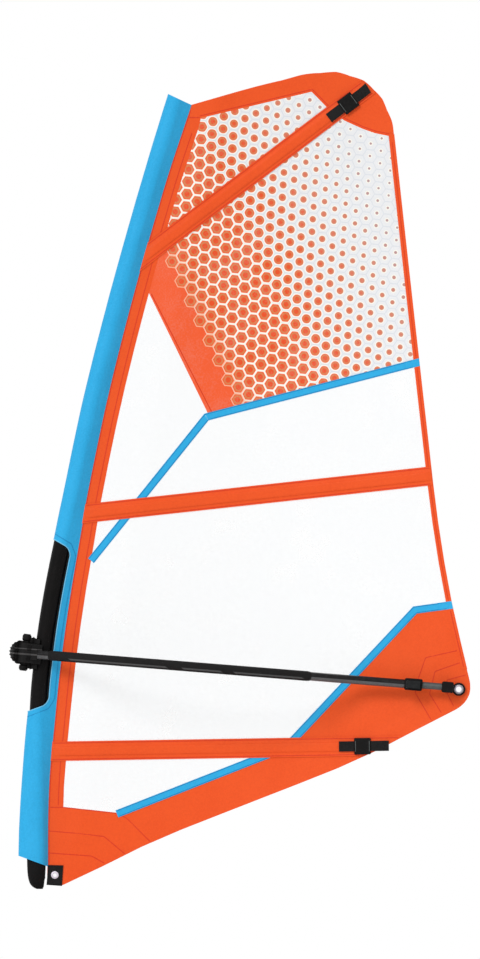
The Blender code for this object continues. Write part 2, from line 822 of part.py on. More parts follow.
def slanted_section(front_height, aft_height, reach, radius):
    """A section cut at a slant, from a height at the front to another at the seam."""
    aft = Vector((seam_x(aft_height) - SEAM_GAP, aft_height))
    front = Vector((mast_x(front_height) - reach, front_height))
    share = (mast_x((front_height + aft_height) / 2) - front.x) / (aft.x - front.x)
    return (front, front.lerp(aft, share), aft, radius)


def make_sleeve():
    reach = smooth([(height, ahead) for height, ahead, _ in LOWER_SLEEVE])
    half_width = smooth([(height, half) for height, _, half in LOWER_SLEEVE])
    mouth = (reach(LOWER_MOUTH_FRONT), half_width(LOWER_MOUTH_AFT))
    cutout = (reach(CUTOUT_BOTTOM_FRONT), SLEEVE_RADIUS)
    low, high = LOWER_MOUTH_AFT + SLEEVE_END_CLEAR, CUTOUT_BOTTOM_FRONT - SLEEVE_END_CLEAR
    lower = [slanted_section(LOWER_MOUTH_FRONT, LOWER_MOUTH_AFT, *mouth)]
    for height in SEAM_STOPS:
        if low < height < high:
            lower.append(seam_section(height, reach(height), half_width(height)))
    lower.append(slanted_section(CUTOUT_BOTTOM_FRONT, CUTOUT_BOTTOM_AFT, *cutout))
    sleeve_solid("luff_sleeve_lower", lower)
    snug = (SLEEVE_RADIUS, SLEEVE_RADIUS)
    low, high = CUTOUT_TOP_FRONT + SLEEVE_END_CLEAR, LUFF_TOP - SLEEVE_END_CLEAR
    upper = [slanted_section(CUTOUT_TOP_FRONT, CUTOUT_TOP_AFT, *snug)]
    upper += [seam_section(height, *snug) for height in SEAM_STOPS if low < height < high]
    upper.append(slanted_section(LUFF_TOP + SLEEVE_HEAD_RISE, LUFF_TOP, *snug))
    sleeve_solid("luff_sleeve_upper", upper)


def cutout_section(height):
    """The two flanks of the sleeve behind the cutout: their front edge and the seam."""
    _, centre, aft, radius = seam_section(height, SLEEVE_RADIUS, SLEEVE_RADIUS)
    tip = (aft - centre).length
    behind = (aft - centre).normalized()
    start, half = teardrop(radius, tip)[0]
    share = (CUTOUT_SET_BACK - start) / (tip - start)
    across = half + share * (SLEEVE_TIP - half)
    return centre, behind, tip, across


def make_cutout_strip():
    low, high = CUTOUT_BOTTOM_AFT + GAP, CUTOUT_TOP_AFT - GAP
    rings = []
    for height in between_stops(SEAM_STOPS, low, high):
        centre, aft, tip, across = cutout_section(height)
        section = [
            (CUTOUT_SET_BACK, across),
            (tip, SLEEVE_TIP),
            (tip, -SLEEVE_TIP),
            (CUTOUT_SET_BACK, -across),
            (CUTOUT_SET_BACK, -across + SLEEVE_CLOTH),
            (tip - 2 * SLEEVE_CLOTH, 0),
            (CUTOUT_SET_BACK, across - SLEEVE_CLOTH),
        ]
        places = [(centre + aft * along, side) for along, side in section]
        rings.append([(place.x, side, place.y) for place, side in places])
    node_from("sleeve_cutout_strip", loft(rings), BLUE)
    for name, side in (("port_cutout_binding", -1), ("starboard_cutout_binding", 1)):
        line = []
        for height in between_stops(SEAM_STOPS, low + SHORT_PAST, high - SHORT_PAST):
            centre, aft, tip, across = cutout_section(height)
            place = centre + aft * (CUTOUT_SET_BACK - BINDING_DIAMETER / 2 - GAP)
            line.append((place.x, side * (across - SLEEVE_CLOTH / 2), place.y))
        swept(name, line, BINDING_DIAMETER / 2, 8, WEBBING)


# The sail


def sail_edge():
    """Foot, clew, leech and head, from the tack round to the top of the luff."""
    clew = [Vector(p) for p in CLEW_CORNER[1:]]
    head = rounded_line(HEAD, 2)[1:] + [Vector((seam_x(LUFF_TOP), LUFF_TOP))]
    return foot_run(FOOT[0][0], FOOT[-1][0]) + clew + leech_run(LEECH[0][0], LEECH[-1][0]) + head


SAIL_EDGE = sail_edge()
LUFF = seam_run(LOWER_MOUTH_AFT, LUFF_TOP)
LUFF_PANEL_EDGE = seam_run(LOWER_MOUTH_AFT, LUFF_TOP, LUFF_PANEL_WIDTH)


def make_body():
    """The one layer of cloth and film that the rest is sewn to."""
    upper_at_panel = meet(LUFF_PANEL_EDGE, *reversed(UPPER_BATTEN_LINE))
    upper_at_head = meet(HEAD_PANEL_EDGE, *UPPER_BATTEN_LINE)
    middle_at_panel = meet(LUFF_PANEL_EDGE, *reversed(MIDDLE_BATTEN_LINE))
    middle_at_leech = meet(SAIL_EDGE, *MIDDLE_BATTEN_LINE)
    middle_at_tape = meet([UPPER_TAPE[0], LUFF_TAPE_END], *reversed(MIDDLE_BATTEN_LINE))
    lower_at_panel = meet(LUFF_PANEL_EDGE, *reversed(LOWER_BATTEN_LINE))
    tape_at_panel = meet(LUFF_PANEL_EDGE, UPPER_TAPE[0], LUFF_TAPE_END)
    upper_tape_at_leech = meet(SAIL_EDGE, *UPPER_TAPE)
    clew_tape_at_leech = meet(SAIL_EDGE, CLEW_TAPE[1], CLEW_TAPE[0])
    tack_at_luff = Vector((seam_x(TACK_SHOULDER), TACK_SHOULDER))
    tack_at_panel = Vector((seam_x(TACK_SHOULDER) + LUFF_PANEL_WIDTH, TACK_SHOULDER))
    head_start = Vector(HEAD_PANEL_EDGE[0])
    head_at_luff = Vector((seam_x(head_start.y), head_start.y))
    head_end = meet(SAIL_EDGE, HEAD_PANEL_EDGE[-2], HEAD_PANEL_EDGE[-1])
    hem_height = upper_at_panel.y - PRINT_HEM_DROP
    hem_top = Vector((seam_x(hem_height) + LUFF_PANEL_WIDTH, hem_height))
    tape_corner = Vector(UPPER_TAPE[0])
    batten_meets_foot_tape = Vector(CLEW_TAPE[2])

    tack_foot = Vector(TACK_SPLIT[1])
    tack_foot.y = foot_z(tack_foot.x)
    eyelet = circle(TACK_EYELET_AT, TACK_EYELET_BARREL + GAP)
    panel(
        "tack_panel",
        [Vector(TACK_BASE)]
        + foot_run(FOOT[0][0], tack_foot.x)
        + [Vector(TACK_SPLIT[0]), Vector(TACK_POINT), tack_at_panel]
        + list(reversed(seam_run(LOWER_MOUTH_AFT, tack_at_luff.y))),
        ORANGE,
        holes=[eyelet],
    )
    clew_hole = circle(CLEW_AT, CLEW_EYELET_BARREL + GAP)
    panel(
        "foot_panel",
        [Vector(TACK_POINT), Vector(TACK_SPLIT[0])]
        + foot_run(tack_foot.x, FOOT[-1][0])
        + [Vector(p) for p in CLEW_CORNER[1:]]
        + leech_run(LEECH[0][0], clew_tape_at_leech.y)
        + [Vector(CLEW_TAPE[1]), batten_meets_foot_tape],
        ORANGE,
        holes=[clew_hole],
    )
    panel(
        "luff_panel",
        seam_run(tack_at_luff.y, head_at_luff.y)
        + [head_start]
        + list(reversed(seam_run(tack_at_panel.y, head_start.y - HEAD_CORNER_DROP, LUFF_PANEL_WIDTH))),
        ORANGE,
    )
    panel(
        "head_panel",
        [head_at_luff]
        + [Vector(p) for p in HEAD_PANEL_EDGE]
        + [head_end]
        + leech_run(head_end.y + HEAD_CORNER_RISE, LEECH[-1][0])
        + rounded_line(HEAD, 2)[1:]
        + [Vector((seam_x(LUFF_TOP), LUFF_TOP))],
        ORANGE,
    )
    inner = [Vector(p) for p in HEAD_PANEL_EDGE]
    head_corner = head_start.y - HEAD_CORNER_DROP
    panel(
        "printed_panel_upper",
        seam_run(upper_at_panel.y, head_corner, LUFF_PANEL_WIDTH) + inner[:3] + [upper_at_head],
        PRINTED,
    )
    panel(
        "printed_panel_lower",
        list(reversed(seam_run(hem_top.y, upper_at_panel.y, LUFF_PANEL_WIDTH)))
        + [Vector(PRINT_HEM_FOOT), tape_corner]
        + leech_run(upper_tape_at_leech.y, head_end.y)
        + list(reversed(inner[3:]))
        + [upper_at_head],
        PRINTED,
    )
    panel(
        "luff_window",
        seam_run(tape_at_panel.y, hem_top.y, LUFF_PANEL_WIDTH) + [Vector(PRINT_HEM_FOOT), tape_corner],
        FILM,
    )
    panel(
        "upper_window",
        [tape_corner, middle_at_tape] + leech_run(middle_at_leech.y, upper_tape_at_leech.y),
        FILM,
    )
    panel(
        "middle_window",
        [middle_at_tape]
        + list(reversed(seam_run(lower_at_panel.y, tape_at_panel.y, LUFF_PANEL_WIDTH)))
        + [batten_meets_foot_tape, Vector(CLEW_TAPE[1])]
        + leech_run(clew_tape_at_leech.y, middle_at_leech.y),
        FILM,
    )
    panel(
        "lower_window",
        list(reversed(seam_run(tack_at_panel.y, lower_at_panel.y, LUFF_PANEL_WIDTH)))
        + [Vector(TACK_POINT), batten_meets_foot_tape],
        FILM,
    )


def mitred(path, width):
    """The two sides of a strip along the path, joined square at the ends and mitred between."""
    path = [Vector(p) for p in path]
    sides = []
    for i, point in enumerate(path):
        before = (point - path[i - 1]).normalized() if i else (path[1] - path[0]).normalized()
        after = (path[i + 1] - point).normalized() if i + 1 < len(path) else before
        first, second = Vector((-before.y, before.x)), Vector((-after.y, after.x))
        reach = (first + second) * (width / 2 / (1 + first.dot(second)))
        sides.append((point + reach, point - reach))
    return sides


def tape(name, sides):
    outline = [left for left, _ in sides] + [right for _, right in reversed(sides)]
    panel(name, outline, BLUE, TAPE_NEAR, TAPE_FACE)


def make_tapes():
    tape_at_panel = meet(LUFF_PANEL_EDGE, UPPER_TAPE[0], LUFF_TAPE_END)
    upper = mitred([tape_at_panel, *UPPER_TAPE], TAPE_WIDTH)
    inside = leech_run(LEECH[0][0], LEECH[-1][0], -BINDING_WIDTH - GAP)
    upper[-1] = tuple(meet(inside, a, b) for a, b in zip(upper[1], upper[-1]))
    tape("luff_seam_tape", upper[:2])
    tape("upper_seam_tape", upper[1:])
    foot = mitred([*CLEW_TAPE, FOOT_TAPE_END], TAPE_WIDTH)
    foot[0] = tuple(meet(inside, a, b) for a, b in zip(foot[1], foot[0]))
    tape("clew_seam_tape", foot[:3])
    tape("foot_seam_tape", foot[2:])


def make_leech_binding():
    """A tape folded over the edge of the sail."""
    low, high = LEECH_BINDING_STARTS, LUFF_TOP - LEECH_BINDING_DROP
    outer = leech_run(low, high, GAP + CLOTH) + list(reversed(leech_run(low, high, -BINDING_WIDTH)))
    fold = node_from("leech_binding", flat_bmesh(outer, -TAPE_FACE, TAPE_FACE), ORANGE)
    low, high = low - SHORT_PAST, high + SHORT_PAST
    inner = leech_run(low, high, -2 * BINDING_WIDTH)
    slot = leech_run(low, high, GAP) + list(reversed(inner))
    cutter = node_from("binding_slot", flat_bmesh(slot, -TAPE_NEAR, TAPE_NEAR), None, cutter=True)
    boolean(fold, cutter, "DIFFERENCE")
    belly(applied(fold))


def straight_strip(line, start, end, width):
    """The outline of a strip along a line, from start to end metres past the line's first point."""
    first, second = Vector(line[0]), Vector(line[1])
    along = (second - first).normalized()
    across = Vector((-along.y, along.x)) * (width / 2)
    low, high = first + along * start, first + along * end
    return [low + across, high + across, high - across, low - across]


def pocket(name, line, width, batten_name):
    """A batten pocket: flat edges sewn to the sail and a raised channel for the batten."""
    first, second = Vector(line[0]), Vector(line[1])
    along = (second - first).normalized()
    across = Vector((-along.y, along.x)) * (width / 2)
    sides = [(first + across * k, second + across * k) for k in (1, 0, -1)]
    luff = [meet(LUFF, far, near) + along * 2 * GAP for near, far in sides]
    edge = [meet(SAIL_EDGE, near, far) - along * 2 * GAP for near, far in sides]
    sewn = flat_bmesh(luff + list(reversed(edge)), POCKET_NEAR, POCKET_FACE)
    flange = node_from(name, sewn, ORANGE)
    rims = [across.normalized() * (CROWN_WIDTH / 2 * k) for k in (1, -1)]
    start = max((point - first).dot(along) for point in luff) + POCKET_SET_BACK
    ends = [meet(SAIL_EDGE, first + rim, second + rim) for rim in rims]
    end = min((point - first).dot(along) for point in ends) - POCKET_SET_BACK
    raised = straight_strip(line, start, end, CROWN_WIDTH)
    raised = flat_bmesh(raised, POCKET_NEAR + CLOTH / 2, CROWN_FACE)
    crown = node_from(name + "_crown", raised, None, cutter=True)
    hollow = straight_strip(line, start + POCKET_SET_BACK, end + CLOTH, CHANNEL_WIDTH)
    hollow = flat_bmesh(hollow, TAPE_NEAR, CROWN_NEAR)
    channel = node_from(name + "_channel", hollow, None, cutter=True)
    boolean(flange, crown, "UNION")
    boolean(flange, channel, "DIFFERENCE")
    belly(applied(flange))
    batten = straight_strip(line, start + BATTEN_START, end - BATTEN_STOP, BATTEN_WIDTH)
    panel(batten_name, batten, GLASS_FIBRE, POCKET_NEAR, BATTEN_FACE, gap=0)


def make_battens():
    pocket("upper_batten_pocket", UPPER_BATTEN_LINE, UPPER_POCKET_WIDTH, "upper_batten")
    pocket("middle_batten_pocket", MIDDLE_BATTEN_LINE, MIDDLE_POCKET_WIDTH, "middle_batten")
    pocket("lower_batten_pocket", LOWER_BATTEN_LINE, LOWER_POCKET_WIDTH, "lower_batten")


def tensioner(side, line, place, reach):
    """A webbing strap that runs under the bar of a square buckle, along the batten's line."""
    along = (Vector(line[1]) - Vector(line[0])).normalized()
    place = Vector(place)
    run = [place, place + along]
    strap = straight_strip(run, *reach, STRAP_WIDTH)
    panel(side + "_tension_strap", strap, WEBBING, STRAP_NEAR, STRAP_FACE, gap=0)
    half = BUCKLE_SIDE / 2
    square = straight_strip(run, -half, half, BUCKLE_SIDE)
    square = flat_bmesh(square, POCKET_FACE + GAP, BUCKLE_FACE)
    buckle = node_from(side + "_tension_buckle", square, PLASTIC)
    slot = straight_strip(run, -BUCKLE_SIDE, BUCKLE_SIDE, STRAP_WIDTH + 2 * GAP)
    slot = node_from(side + "_buckle_slot", flat_bmesh(slot, 0, BUCKLE_NEAR), None, cutter=True)
    bevelled(buckle, BUCKLE_BEVEL)
    boolean(buckle, slot, "DIFFERENCE")
    belly(applied(buckle))


def make_corner_fittings():
    patch_face = TAPE_NEAR + TACK_PATCH_THICKNESS
    hole = circle(TACK_EYELET_AT, TACK_EYELET_BARREL + GAP)
    panel("tack_patch", TACK_PATCH, WEBBING, TAPE_NEAR, patch_face, holes=[hole])
    port, starboard = patch_face + GAP, TAPE_NEAR
    lip, roll = (TACK_EYELET_PROUD * share for share in TACK_EYELET_ROLL)
    at = (TACK_EYELET_AT[0], 0, TACK_EYELET_AT[1])
    turned(
        "tack_eyelet",
        [
            (TACK_EYELET_RIM, port + lip),
            (TACK_EYELET_RIM, port),
            (TACK_EYELET_BARREL, port),
            (TACK_EYELET_BARREL, -starboard),
            (TACK_EYELET_RIM, -starboard),
            (TACK_EYELET_RIM, -starboard - lip),
            (TACK_EYELET_BARREL, -starboard - TACK_EYELET_PROUD),
            (TACK_EYELET_BORE, -starboard - roll),
            (TACK_EYELET_BORE, port + roll),
            (TACK_EYELET_BARREL, port + TACK_EYELET_PROUD),
        ],
        SILVER,
        at=at,
        closed=True,
        lying=True,
    )
    at = (CLEW_AT[0], 0, CLEW_AT[1])
    rim, throat = (CLEW_EYELET_PROUD - set_back for set_back in CLEW_EYELET_ROLL)
    turned(
        "clew_eyelet",
        [
            (CLEW_EYELET_RIM, rim),
            (CLEW_EYELET_RIM, TAPE_NEAR),
            (CLEW_EYELET_BARREL, TAPE_NEAR),
            (CLEW_EYELET_BARREL, -TAPE_NEAR),
            (CLEW_EYELET_RIM, -TAPE_NEAR),
            (CLEW_EYELET_RIM, -rim),
            (CLEW_EYELET_BARREL, -CLEW_EYELET_PROUD),
            (CLEW_EYELET_BORE, -throat),
            (CLEW_EYELET_BORE, throat),
            (CLEW_EYELET_BARREL, CLEW_EYELET_PROUD),
        ],
        SILVER,
        at=at,
        closed=True,
        lying=True,
        sides=ROUND_SIDES,
    )
    inner = CLEW_EYELET_RIM + GAP
    edge = CLEW_RING_EDGE
    for name, low, high in (
        ("port_clew_ring", TAPE_NEAR, CLEW_RING_PROUD),
        ("starboard_clew_ring", -CLEW_RING_PROUD, -TAPE_NEAR),
    ):
        profile = [
            (CLEW_RING_RADIUS - edge, high),
            (CLEW_RING_RADIUS, high - edge),
            (CLEW_RING_RADIUS, low + edge),
            (CLEW_RING_RADIUS - edge, low),
            (inner, low),
            (inner, high),
        ]
        turned(name, profile, PLASTIC, at=at, closed=True, lying=True, sides=ROUND_SIDES)


# The boom

BOOM_AT = Vector((mast_x(BOOM_HEIGHT), 0, BOOM_HEIGHT))
MAST_SHIFT = mast_x(BOOM_HEIGHT + SLOPE_STEP) - mast_x(BOOM_HEIGHT - SLOPE_STEP)
HEAD_LEAN = math.atan2(MAST_SHIFT, 2 * SLOPE_STEP)
CLEW_LINE = CLEW_AT[1] + CLEW_LINE_RISE
BOOM_DROP = math.atan2(BOOM_HEIGHT - CLEW_LINE, CLEW_AT[0] - BOOM_AT.x)
SIDES = (("port", -1), ("starboard", 1))


def arm_line(side):
    spread = [(u, side * v, 0) for u, v in ARM_BOW]
    start = Vector((ARM_START, side * ARM_SPREAD_AT_HEAD, 0))
    bend = start + Vector((ARM_STRAIGHT_AT_HEAD, 0, 0))
    straight = (ARM_STRAIGHT_FROM, side * ARM_SPREAD_AT_TAIL, 0)
    bow = rounded_line([bend, *spread, straight], 2)
    return [start] + bow + [Vector((ARM_END, side * ARM_SPREAD_AT_TAIL, 0))]


def between(line, low, high):
    """The part of a line from one distance aft to another."""
    kept = []
    for a, b in zip(line, line[1:]):
        for stop in (low, high):
            if a.x < stop < b.x:
                kept.append(a.lerp(b, (stop - a.x) / (b.x - a.x)))
        if low < b.x < high:
            kept.append(b)
    return sorted(kept, key=lambda point: point.x)


def make_arms(boom):
    for side_name, side in SIDES:
        line = arm_line(side)
        tube(side_name + "_arm", line, ARM_RADIUS, ARM_WALL, ARM_SIDES, TUBE, boom)
        grip = between(line, GRIP_STARTS, GRIP_ENDS)
        radius = ARM_RADIUS + GAP + GRIP_WALL
        tube(side_name + "_grip", grip, radius, GRIP_WALL, ARM_SIDES, FOAM, boom)


def make_tail(boom):
    aft = Vector((CLEW_AT[0] - BOOM_AT.x, CLEW_AT[1] - BOOM_AT.z))
    clew_along = aft.x * math.cos(BOOM_DROP) - aft.y * math.sin(BOOM_DROP)
    # The fittings stand either side of the clew rings and reach a little past their edge.
    fitting_end = clew_along - CLEW_RING_RADIUS + FITTING_PAST_RING
    inner = CLEW_RING_PROUD + GAP
    outer = ARM_SPREAD_AT_TAIL + LEG_RADIUS + GAP + FITTING_WALL / 2
    for side_name, side in SIDES:
        middle = side * ARM_SPREAD_AT_TAIL
        ends = [(LEG_START, middle, 0), (LEG_END, middle, 0)]
        tube(side_name + "_tail_leg", ends, LEG_RADIUS, LEG_WALL, ARM_SIDES, GREY, boom)
        faces = sorted((side * inner, side * outer))
        fitting = box(
            side_name + "_end_fitting",
            (FITTING_START, faces[0], -FITTING_HEIGHT / 2),
            (fitting_end, faces[1], FITTING_HEIGHT / 2),
            PLASTIC,
            boom,
        )
        bevelled(fitting, FITTING_BEVEL, 2)
        socket = rod(
            side_name + "_leg_socket",
            LEG_RADIUS + GAP,
            (FITTING_START - LONG_PAST, LEG_END + GAP),
            "X",
            None,
            boom,
            (0, middle, 0),
            cutter=True,
        )
        boolean(fitting, socket, "DIFFERENCE")


def make_collars(boom):
    half_height = COLLAR_HEIGHT / 2
    bore = ARM_RADIUS + GAP
    start = ARM_END + GAP + COLLAR_LIP - COLLAR_LENGTH
    end = start + COLLAR_LENGTH
    hinge_along = start + LEVER_PIN_SET_BACK
    inner = ARM_SPREAD_AT_TAIL - bore - COLLAR_WALL
    outer = ARM_SPREAD_AT_TAIL + bore + COLLAR_WALL
    hinge_out = outer + GAP + LEVER_BARREL_RADIUS
    half_lever = LEVER_HEIGHT / 2
    ear_low, ear_high = half_lever + GAP, half_lever + GAP + EAR_THICKNESS
    ear_reach = LEVER_PIN_RADIUS + EAR_WALL
    pin_reach = (-ear_high - LONG_PAST, ear_high + LONG_PAST)
    for side_name, side in SIDES:
        middle = side * ARM_SPREAD_AT_TAIL
        faces = sorted((side * inner, side * outer))
        low, high = (start, faces[0], -half_height), (end, faces[1], half_height)
        collar = box(side_name + "_clamp_collar", low, high, PLASTIC, boom)
        bevelled(collar, COLLAR_BEVEL, 2)
        at = (0, middle, 0)
        name = side_name + "_collar_arm_bore"
        arm_bore = rod(name, bore, (start - LONG_PAST, ARM_END + GAP), "X", None, boom, at, cutter=True)
        name = side_name + "_collar_leg_bore"
        past = (start - LONG_PAST, end + LONG_PAST)
        leg_bore = rod(name, LEG_RADIUS + 2 * GAP, past, "X", None, boom, at, cutter=True)
        hinge = (hinge_along, side * hinge_out, 0)
        ears = []
        for level, name in ((1, "upper"), (-1, "lower")):
            heights = sorted((level * ear_low, level * ear_high))
            across = sorted((-side * (hinge_out - outer + EAR_ROOT), side * ear_reach))
            ears.append(
                box(
                    side_name + "_" + name + "_ear",
                    (-ear_reach, across[0], heights[0]),
                    (ear_reach, across[1], heights[1]),
                    None,
                    boom,
                    cutter=True,
                    at=hinge,
                )
            )
        for ear in ears:
            boolean(collar, ear, "UNION")
        boolean(collar, arm_bore, "DIFFERENCE")
        boolean(collar, leg_bore, "DIFFERENCE")
        name = side_name + "_pin_hole"
        pin_hole = rod(name, LEVER_PIN_RADIUS + GAP, pin_reach, "Z", None, boom, hinge, True, sides=12)
        boolean(collar, pin_hole, "DIFFERENCE")
        name = side_name + "_lever_pin"
        rod(name, LEVER_PIN_RADIUS, (-ear_high, ear_high), "Z", SILVER, boom, hinge, sides=12)
        name, ends = side_name + "_clamp_lever", (-half_lever, half_lever)
        lever = rod(name, LEVER_BARREL_RADIUS, ends, "Z", PLASTIC, boom, hinge, sides=16)
        near = LEVER_BARREL_RADIUS - LEVER_THICKNESS
        plate_faces = sorted((side * near, side * LEVER_BARREL_RADIUS))
        plate = box(
            side_name + "_lever_plate",
            (0, plate_faces[0], -half_lever),
            (LEVER_LENGTH, plate_faces[1], half_lever),
            None,
            boom,
            cutter=True,
            at=hinge,
        )
        boolean(lever, plate, "UNION")
        boolean(lever, pin_hole, "DIFFERENCE")


def arc_points(centre, radius, start, end, steps=ARC_STEPS):
    turns = [start + (end - start) * i / steps for i in range(steps + 1)]
    return [Vector((centre[0] + radius * math.cos(a), centre[1] + radius * math.sin(a))) for a in turns]


def upright(name, outline, half_height, material, parent, at=(0, 0, 0), cutter=False):
    """An outline seen along the mast, with equal heights above and below."""
    curve = poly_curve(name, [outline], "2D", True)
    curve.fill_mode = "BOTH"
    curve.extrude = half_height
    return node_from(name, mesh_of_curve(curve, name), material, parent, at, cutter)


def make_head(head, boom):
    pin = (-HEAD_PIN_AHEAD, 0, 0)
    cheek = SADDLE_RADIUS + HEAD_CHEEK
    nose = arc_points((-HEAD_PIN_AHEAD, 0), NOSE_RADIUS, math.radians(90), math.radians(270))
    # The block stays narrow ahead of the yoke, where the lever swings past it.
    flank = [(CHEEK_START, NOSE_RADIUS), (CHEEK_START, cheek), (-SADDLE_BACK, cheek)]
    port = [Vector((along, -across)) for along, across in flank]
    starboard = [Vector(place) for place in reversed(flank)]
    block = upright("boom_head_block", nose + port + starboard, HEAD_HALF_HEIGHT, PLASTIC, head)
    yoke_aft = ARM_START - GAP
    yoke_half = ARM_SPREAD_AT_HEAD + ARM_RADIUS + YOKE_OVERHANG
    yoke = box(
        "head_yoke",
        (CHEEK_START, -yoke_half, -YOKE_HALF_HEIGHT),
        (yoke_aft, yoke_half, YOKE_HALF_HEIGHT),
        None,
        boom,
        cutter=True,
    )
    boolean(block, yoke, "UNION")
    past = (-HEAD_CUTTER_REACH, HEAD_CUTTER_REACH)
    saddle = rod("head_saddle", SADDLE_RADIUS, past, "Z", None, head, cutter=True, sides=32)
    pin_hole = rod("head_pin_hole", HEAD_PIN_RADIUS + GAP, past, "Z", None, head, pin, cutter=True)
    boolean(block, saddle, "DIFFERENCE")
    boolean(block, pin_hole, "DIFFERENCE")

    half_turn = math.pi
    pad = arc_points((0, 0), PAD_OUTER, half_turn - PAD_SPREAD, half_turn + PAD_SPREAD)
    pad += arc_points((0, 0), PAD_INNER, half_turn + PAD_SPREAD, half_turn - PAD_SPREAD)
    upright("head_rubber_pad", pad, HEAD_HALF_HEIGHT - 0.001, RUBBER, head)
    band = arc_points((0, 0), PAD_OUTER, -BAND_SPREAD, BAND_SPREAD, 16)
    band += arc_points((0, 0), PAD_INNER, BAND_SPREAD, -BAND_SPREAD, 16)
    upright("head_rear_band", band, BAND_HALF_HEIGHT, WEBBING, head)

    lever_half = HEAD_HALF_HEIGHT + GAP + LEVER_PLATE
    # The fan's two edges run straight out from the pin, so its lip clears the block to the full swing.
    fan = arc_points((0, 0), LEVER_REACH, half_turn - LEVER_SWEEP, half_turn + LEVER_SWEEP)
    hub = half_turn + LEVER_SWEEP + LEVER_WAIST, 3 * half_turn - LEVER_SWEEP - LEVER_WAIST
    edge_in, edge_out = NOSE_RADIUS * math.cos(LEVER_SWEEP), NOSE_RADIUS * math.sin(LEVER_SWEEP)
    fan.append(Vector((-edge_in, -edge_out)))
    fan += arc_points((0, 0), LEVER_HUB, *hub)
    fan.append(Vector((-edge_in, edge_out)))
    lever = upright("head_cam_lever", fan, lever_half, PLASTIC, head, pin)
    hollow = rod(
        "lever_hollow",
        NOSE_RADIUS + 2 * GAP,
        (-HEAD_HALF_HEIGHT - GAP, HEAD_HALF_HEIGHT + GAP),
        "Z",
        None,
        head,
        pin,
        cutter=True,
        sides=32,
    )
    crown_centre = LEVER_CROWN - LEVER_REACH
    crown = arc_points((crown_centre, 0), LEVER_CROWN, half_turn * 1.5, half_turn / 2)
    crown += [Vector((LEVER_CUTTER_BACK, LEVER_CROWN)), Vector((LEVER_CUTTER_BACK, -LEVER_CROWN))]
    crown = node_from("lever_crown", flat_bmesh(crown, *past), None, head, pin, cutter=True)
    boolean(lever, crown, "INTERSECT")
    boolean(lever, hollow, "DIFFERENCE")
    boolean(lever, pin_hole, "DIFFERENCE")

    collar = lever_half + GAP
    edge, crowned = KNOB_EDGE, KNOB_CROWN
    pin_top = KNOB_TOP - KNOB_CAP
    turned(
        "head_hinge_pin",
        [
            (0, pin_top),
            (HEAD_PIN_RADIUS, pin_top),
            (HEAD_PIN_RADIUS, -collar),
            (KNOB_RADIUS - edge, -collar),
            (KNOB_RADIUS, -collar - edge),
            (KNOB_RADIUS, -PIN_FOOT + crowned),
            (KNOB_RADIUS - edge, -PIN_FOOT),
            (0, -PIN_FOOT),
        ],
        PLASTIC,
        head,
        pin,
    )
    turned(
        "head_pin_knob",
        [
            (0, KNOB_TOP),
            (KNOB_RADIUS - edge, KNOB_TOP),
            (KNOB_RADIUS, KNOB_TOP - crowned),
            (KNOB_RADIUS, collar + edge),
            (KNOB_RADIUS - edge, collar),
            (HEAD_PIN_RADIUS + GAP, collar),
            (HEAD_PIN_RADIUS + GAP, pin_top + GAP),
            (0, pin_top + GAP),
        ],
        PLASTIC,
        head,
        pin,
    )


def make_boom():
    boom = empty("boom_line", Matrix.Translation(BOOM_AT) @ Matrix.Rotation(BOOM_DROP, 4, "Y"))
    head = empty("boom_head_line", Matrix.Translation(BOOM_AT) @ Matrix.Rotation(HEAD_LEAN, 4, "Y"))
    make_head(head, boom)
    make_arms(boom)
    make_collars(boom)
    make_tail(boom)


make_mast()
make_sleeve()
make_cutout_strip()
make_body()
make_tapes()
make_leech_binding()
make_battens()
tensioner("upper", UPPER_BATTEN_LINE, UPPER_BUCKLE_AT, UPPER_STRAP_REACH)
tensioner("lower", LOWER_BATTEN_LINE, LOWER_BUCKLE_AT, LOWER_STRAP_REACH)
make_corner_fittings()
make_boom()
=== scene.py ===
# %% [markdown]
# A small child's windsurf rig, seen from its port side: a curved black mast in a blue luff sleeve, a
# sail of orange cloth, clear film and a printed panel, and a wishbone boom. Its solid frame already
# exists. This script dresses it: it takes the frame as it is, adds smoother and finer pieces where
# cloth, seams and grips need them, and gives every surface a finish made from shader nodes.

import bisect
import math
from contextlib import contextmanager

import bpy
from mathutils import Matrix, Vector, noise
from mathutils.bvhtree import BVHTree


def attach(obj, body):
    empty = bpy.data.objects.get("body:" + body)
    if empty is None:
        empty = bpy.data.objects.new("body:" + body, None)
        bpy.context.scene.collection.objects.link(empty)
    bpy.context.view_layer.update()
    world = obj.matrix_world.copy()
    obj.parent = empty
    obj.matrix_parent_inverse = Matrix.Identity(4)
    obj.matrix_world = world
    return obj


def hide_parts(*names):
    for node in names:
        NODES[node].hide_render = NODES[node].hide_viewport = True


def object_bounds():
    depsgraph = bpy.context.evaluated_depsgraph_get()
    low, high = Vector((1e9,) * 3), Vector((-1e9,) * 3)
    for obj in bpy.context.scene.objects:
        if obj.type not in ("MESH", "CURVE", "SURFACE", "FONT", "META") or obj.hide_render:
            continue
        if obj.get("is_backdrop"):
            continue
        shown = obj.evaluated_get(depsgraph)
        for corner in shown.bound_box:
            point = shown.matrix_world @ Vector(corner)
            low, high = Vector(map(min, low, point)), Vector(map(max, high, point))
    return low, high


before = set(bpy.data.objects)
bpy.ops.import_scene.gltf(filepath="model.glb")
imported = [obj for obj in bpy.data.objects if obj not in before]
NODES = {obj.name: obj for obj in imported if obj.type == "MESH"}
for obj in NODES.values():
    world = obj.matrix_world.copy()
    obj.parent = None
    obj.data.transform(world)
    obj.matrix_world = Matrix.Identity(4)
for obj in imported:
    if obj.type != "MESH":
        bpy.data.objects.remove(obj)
SIZES = {"cad": [list(corner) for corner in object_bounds()]}
print(f"{len(NODES)} solids, box {SIZES['cad']}")

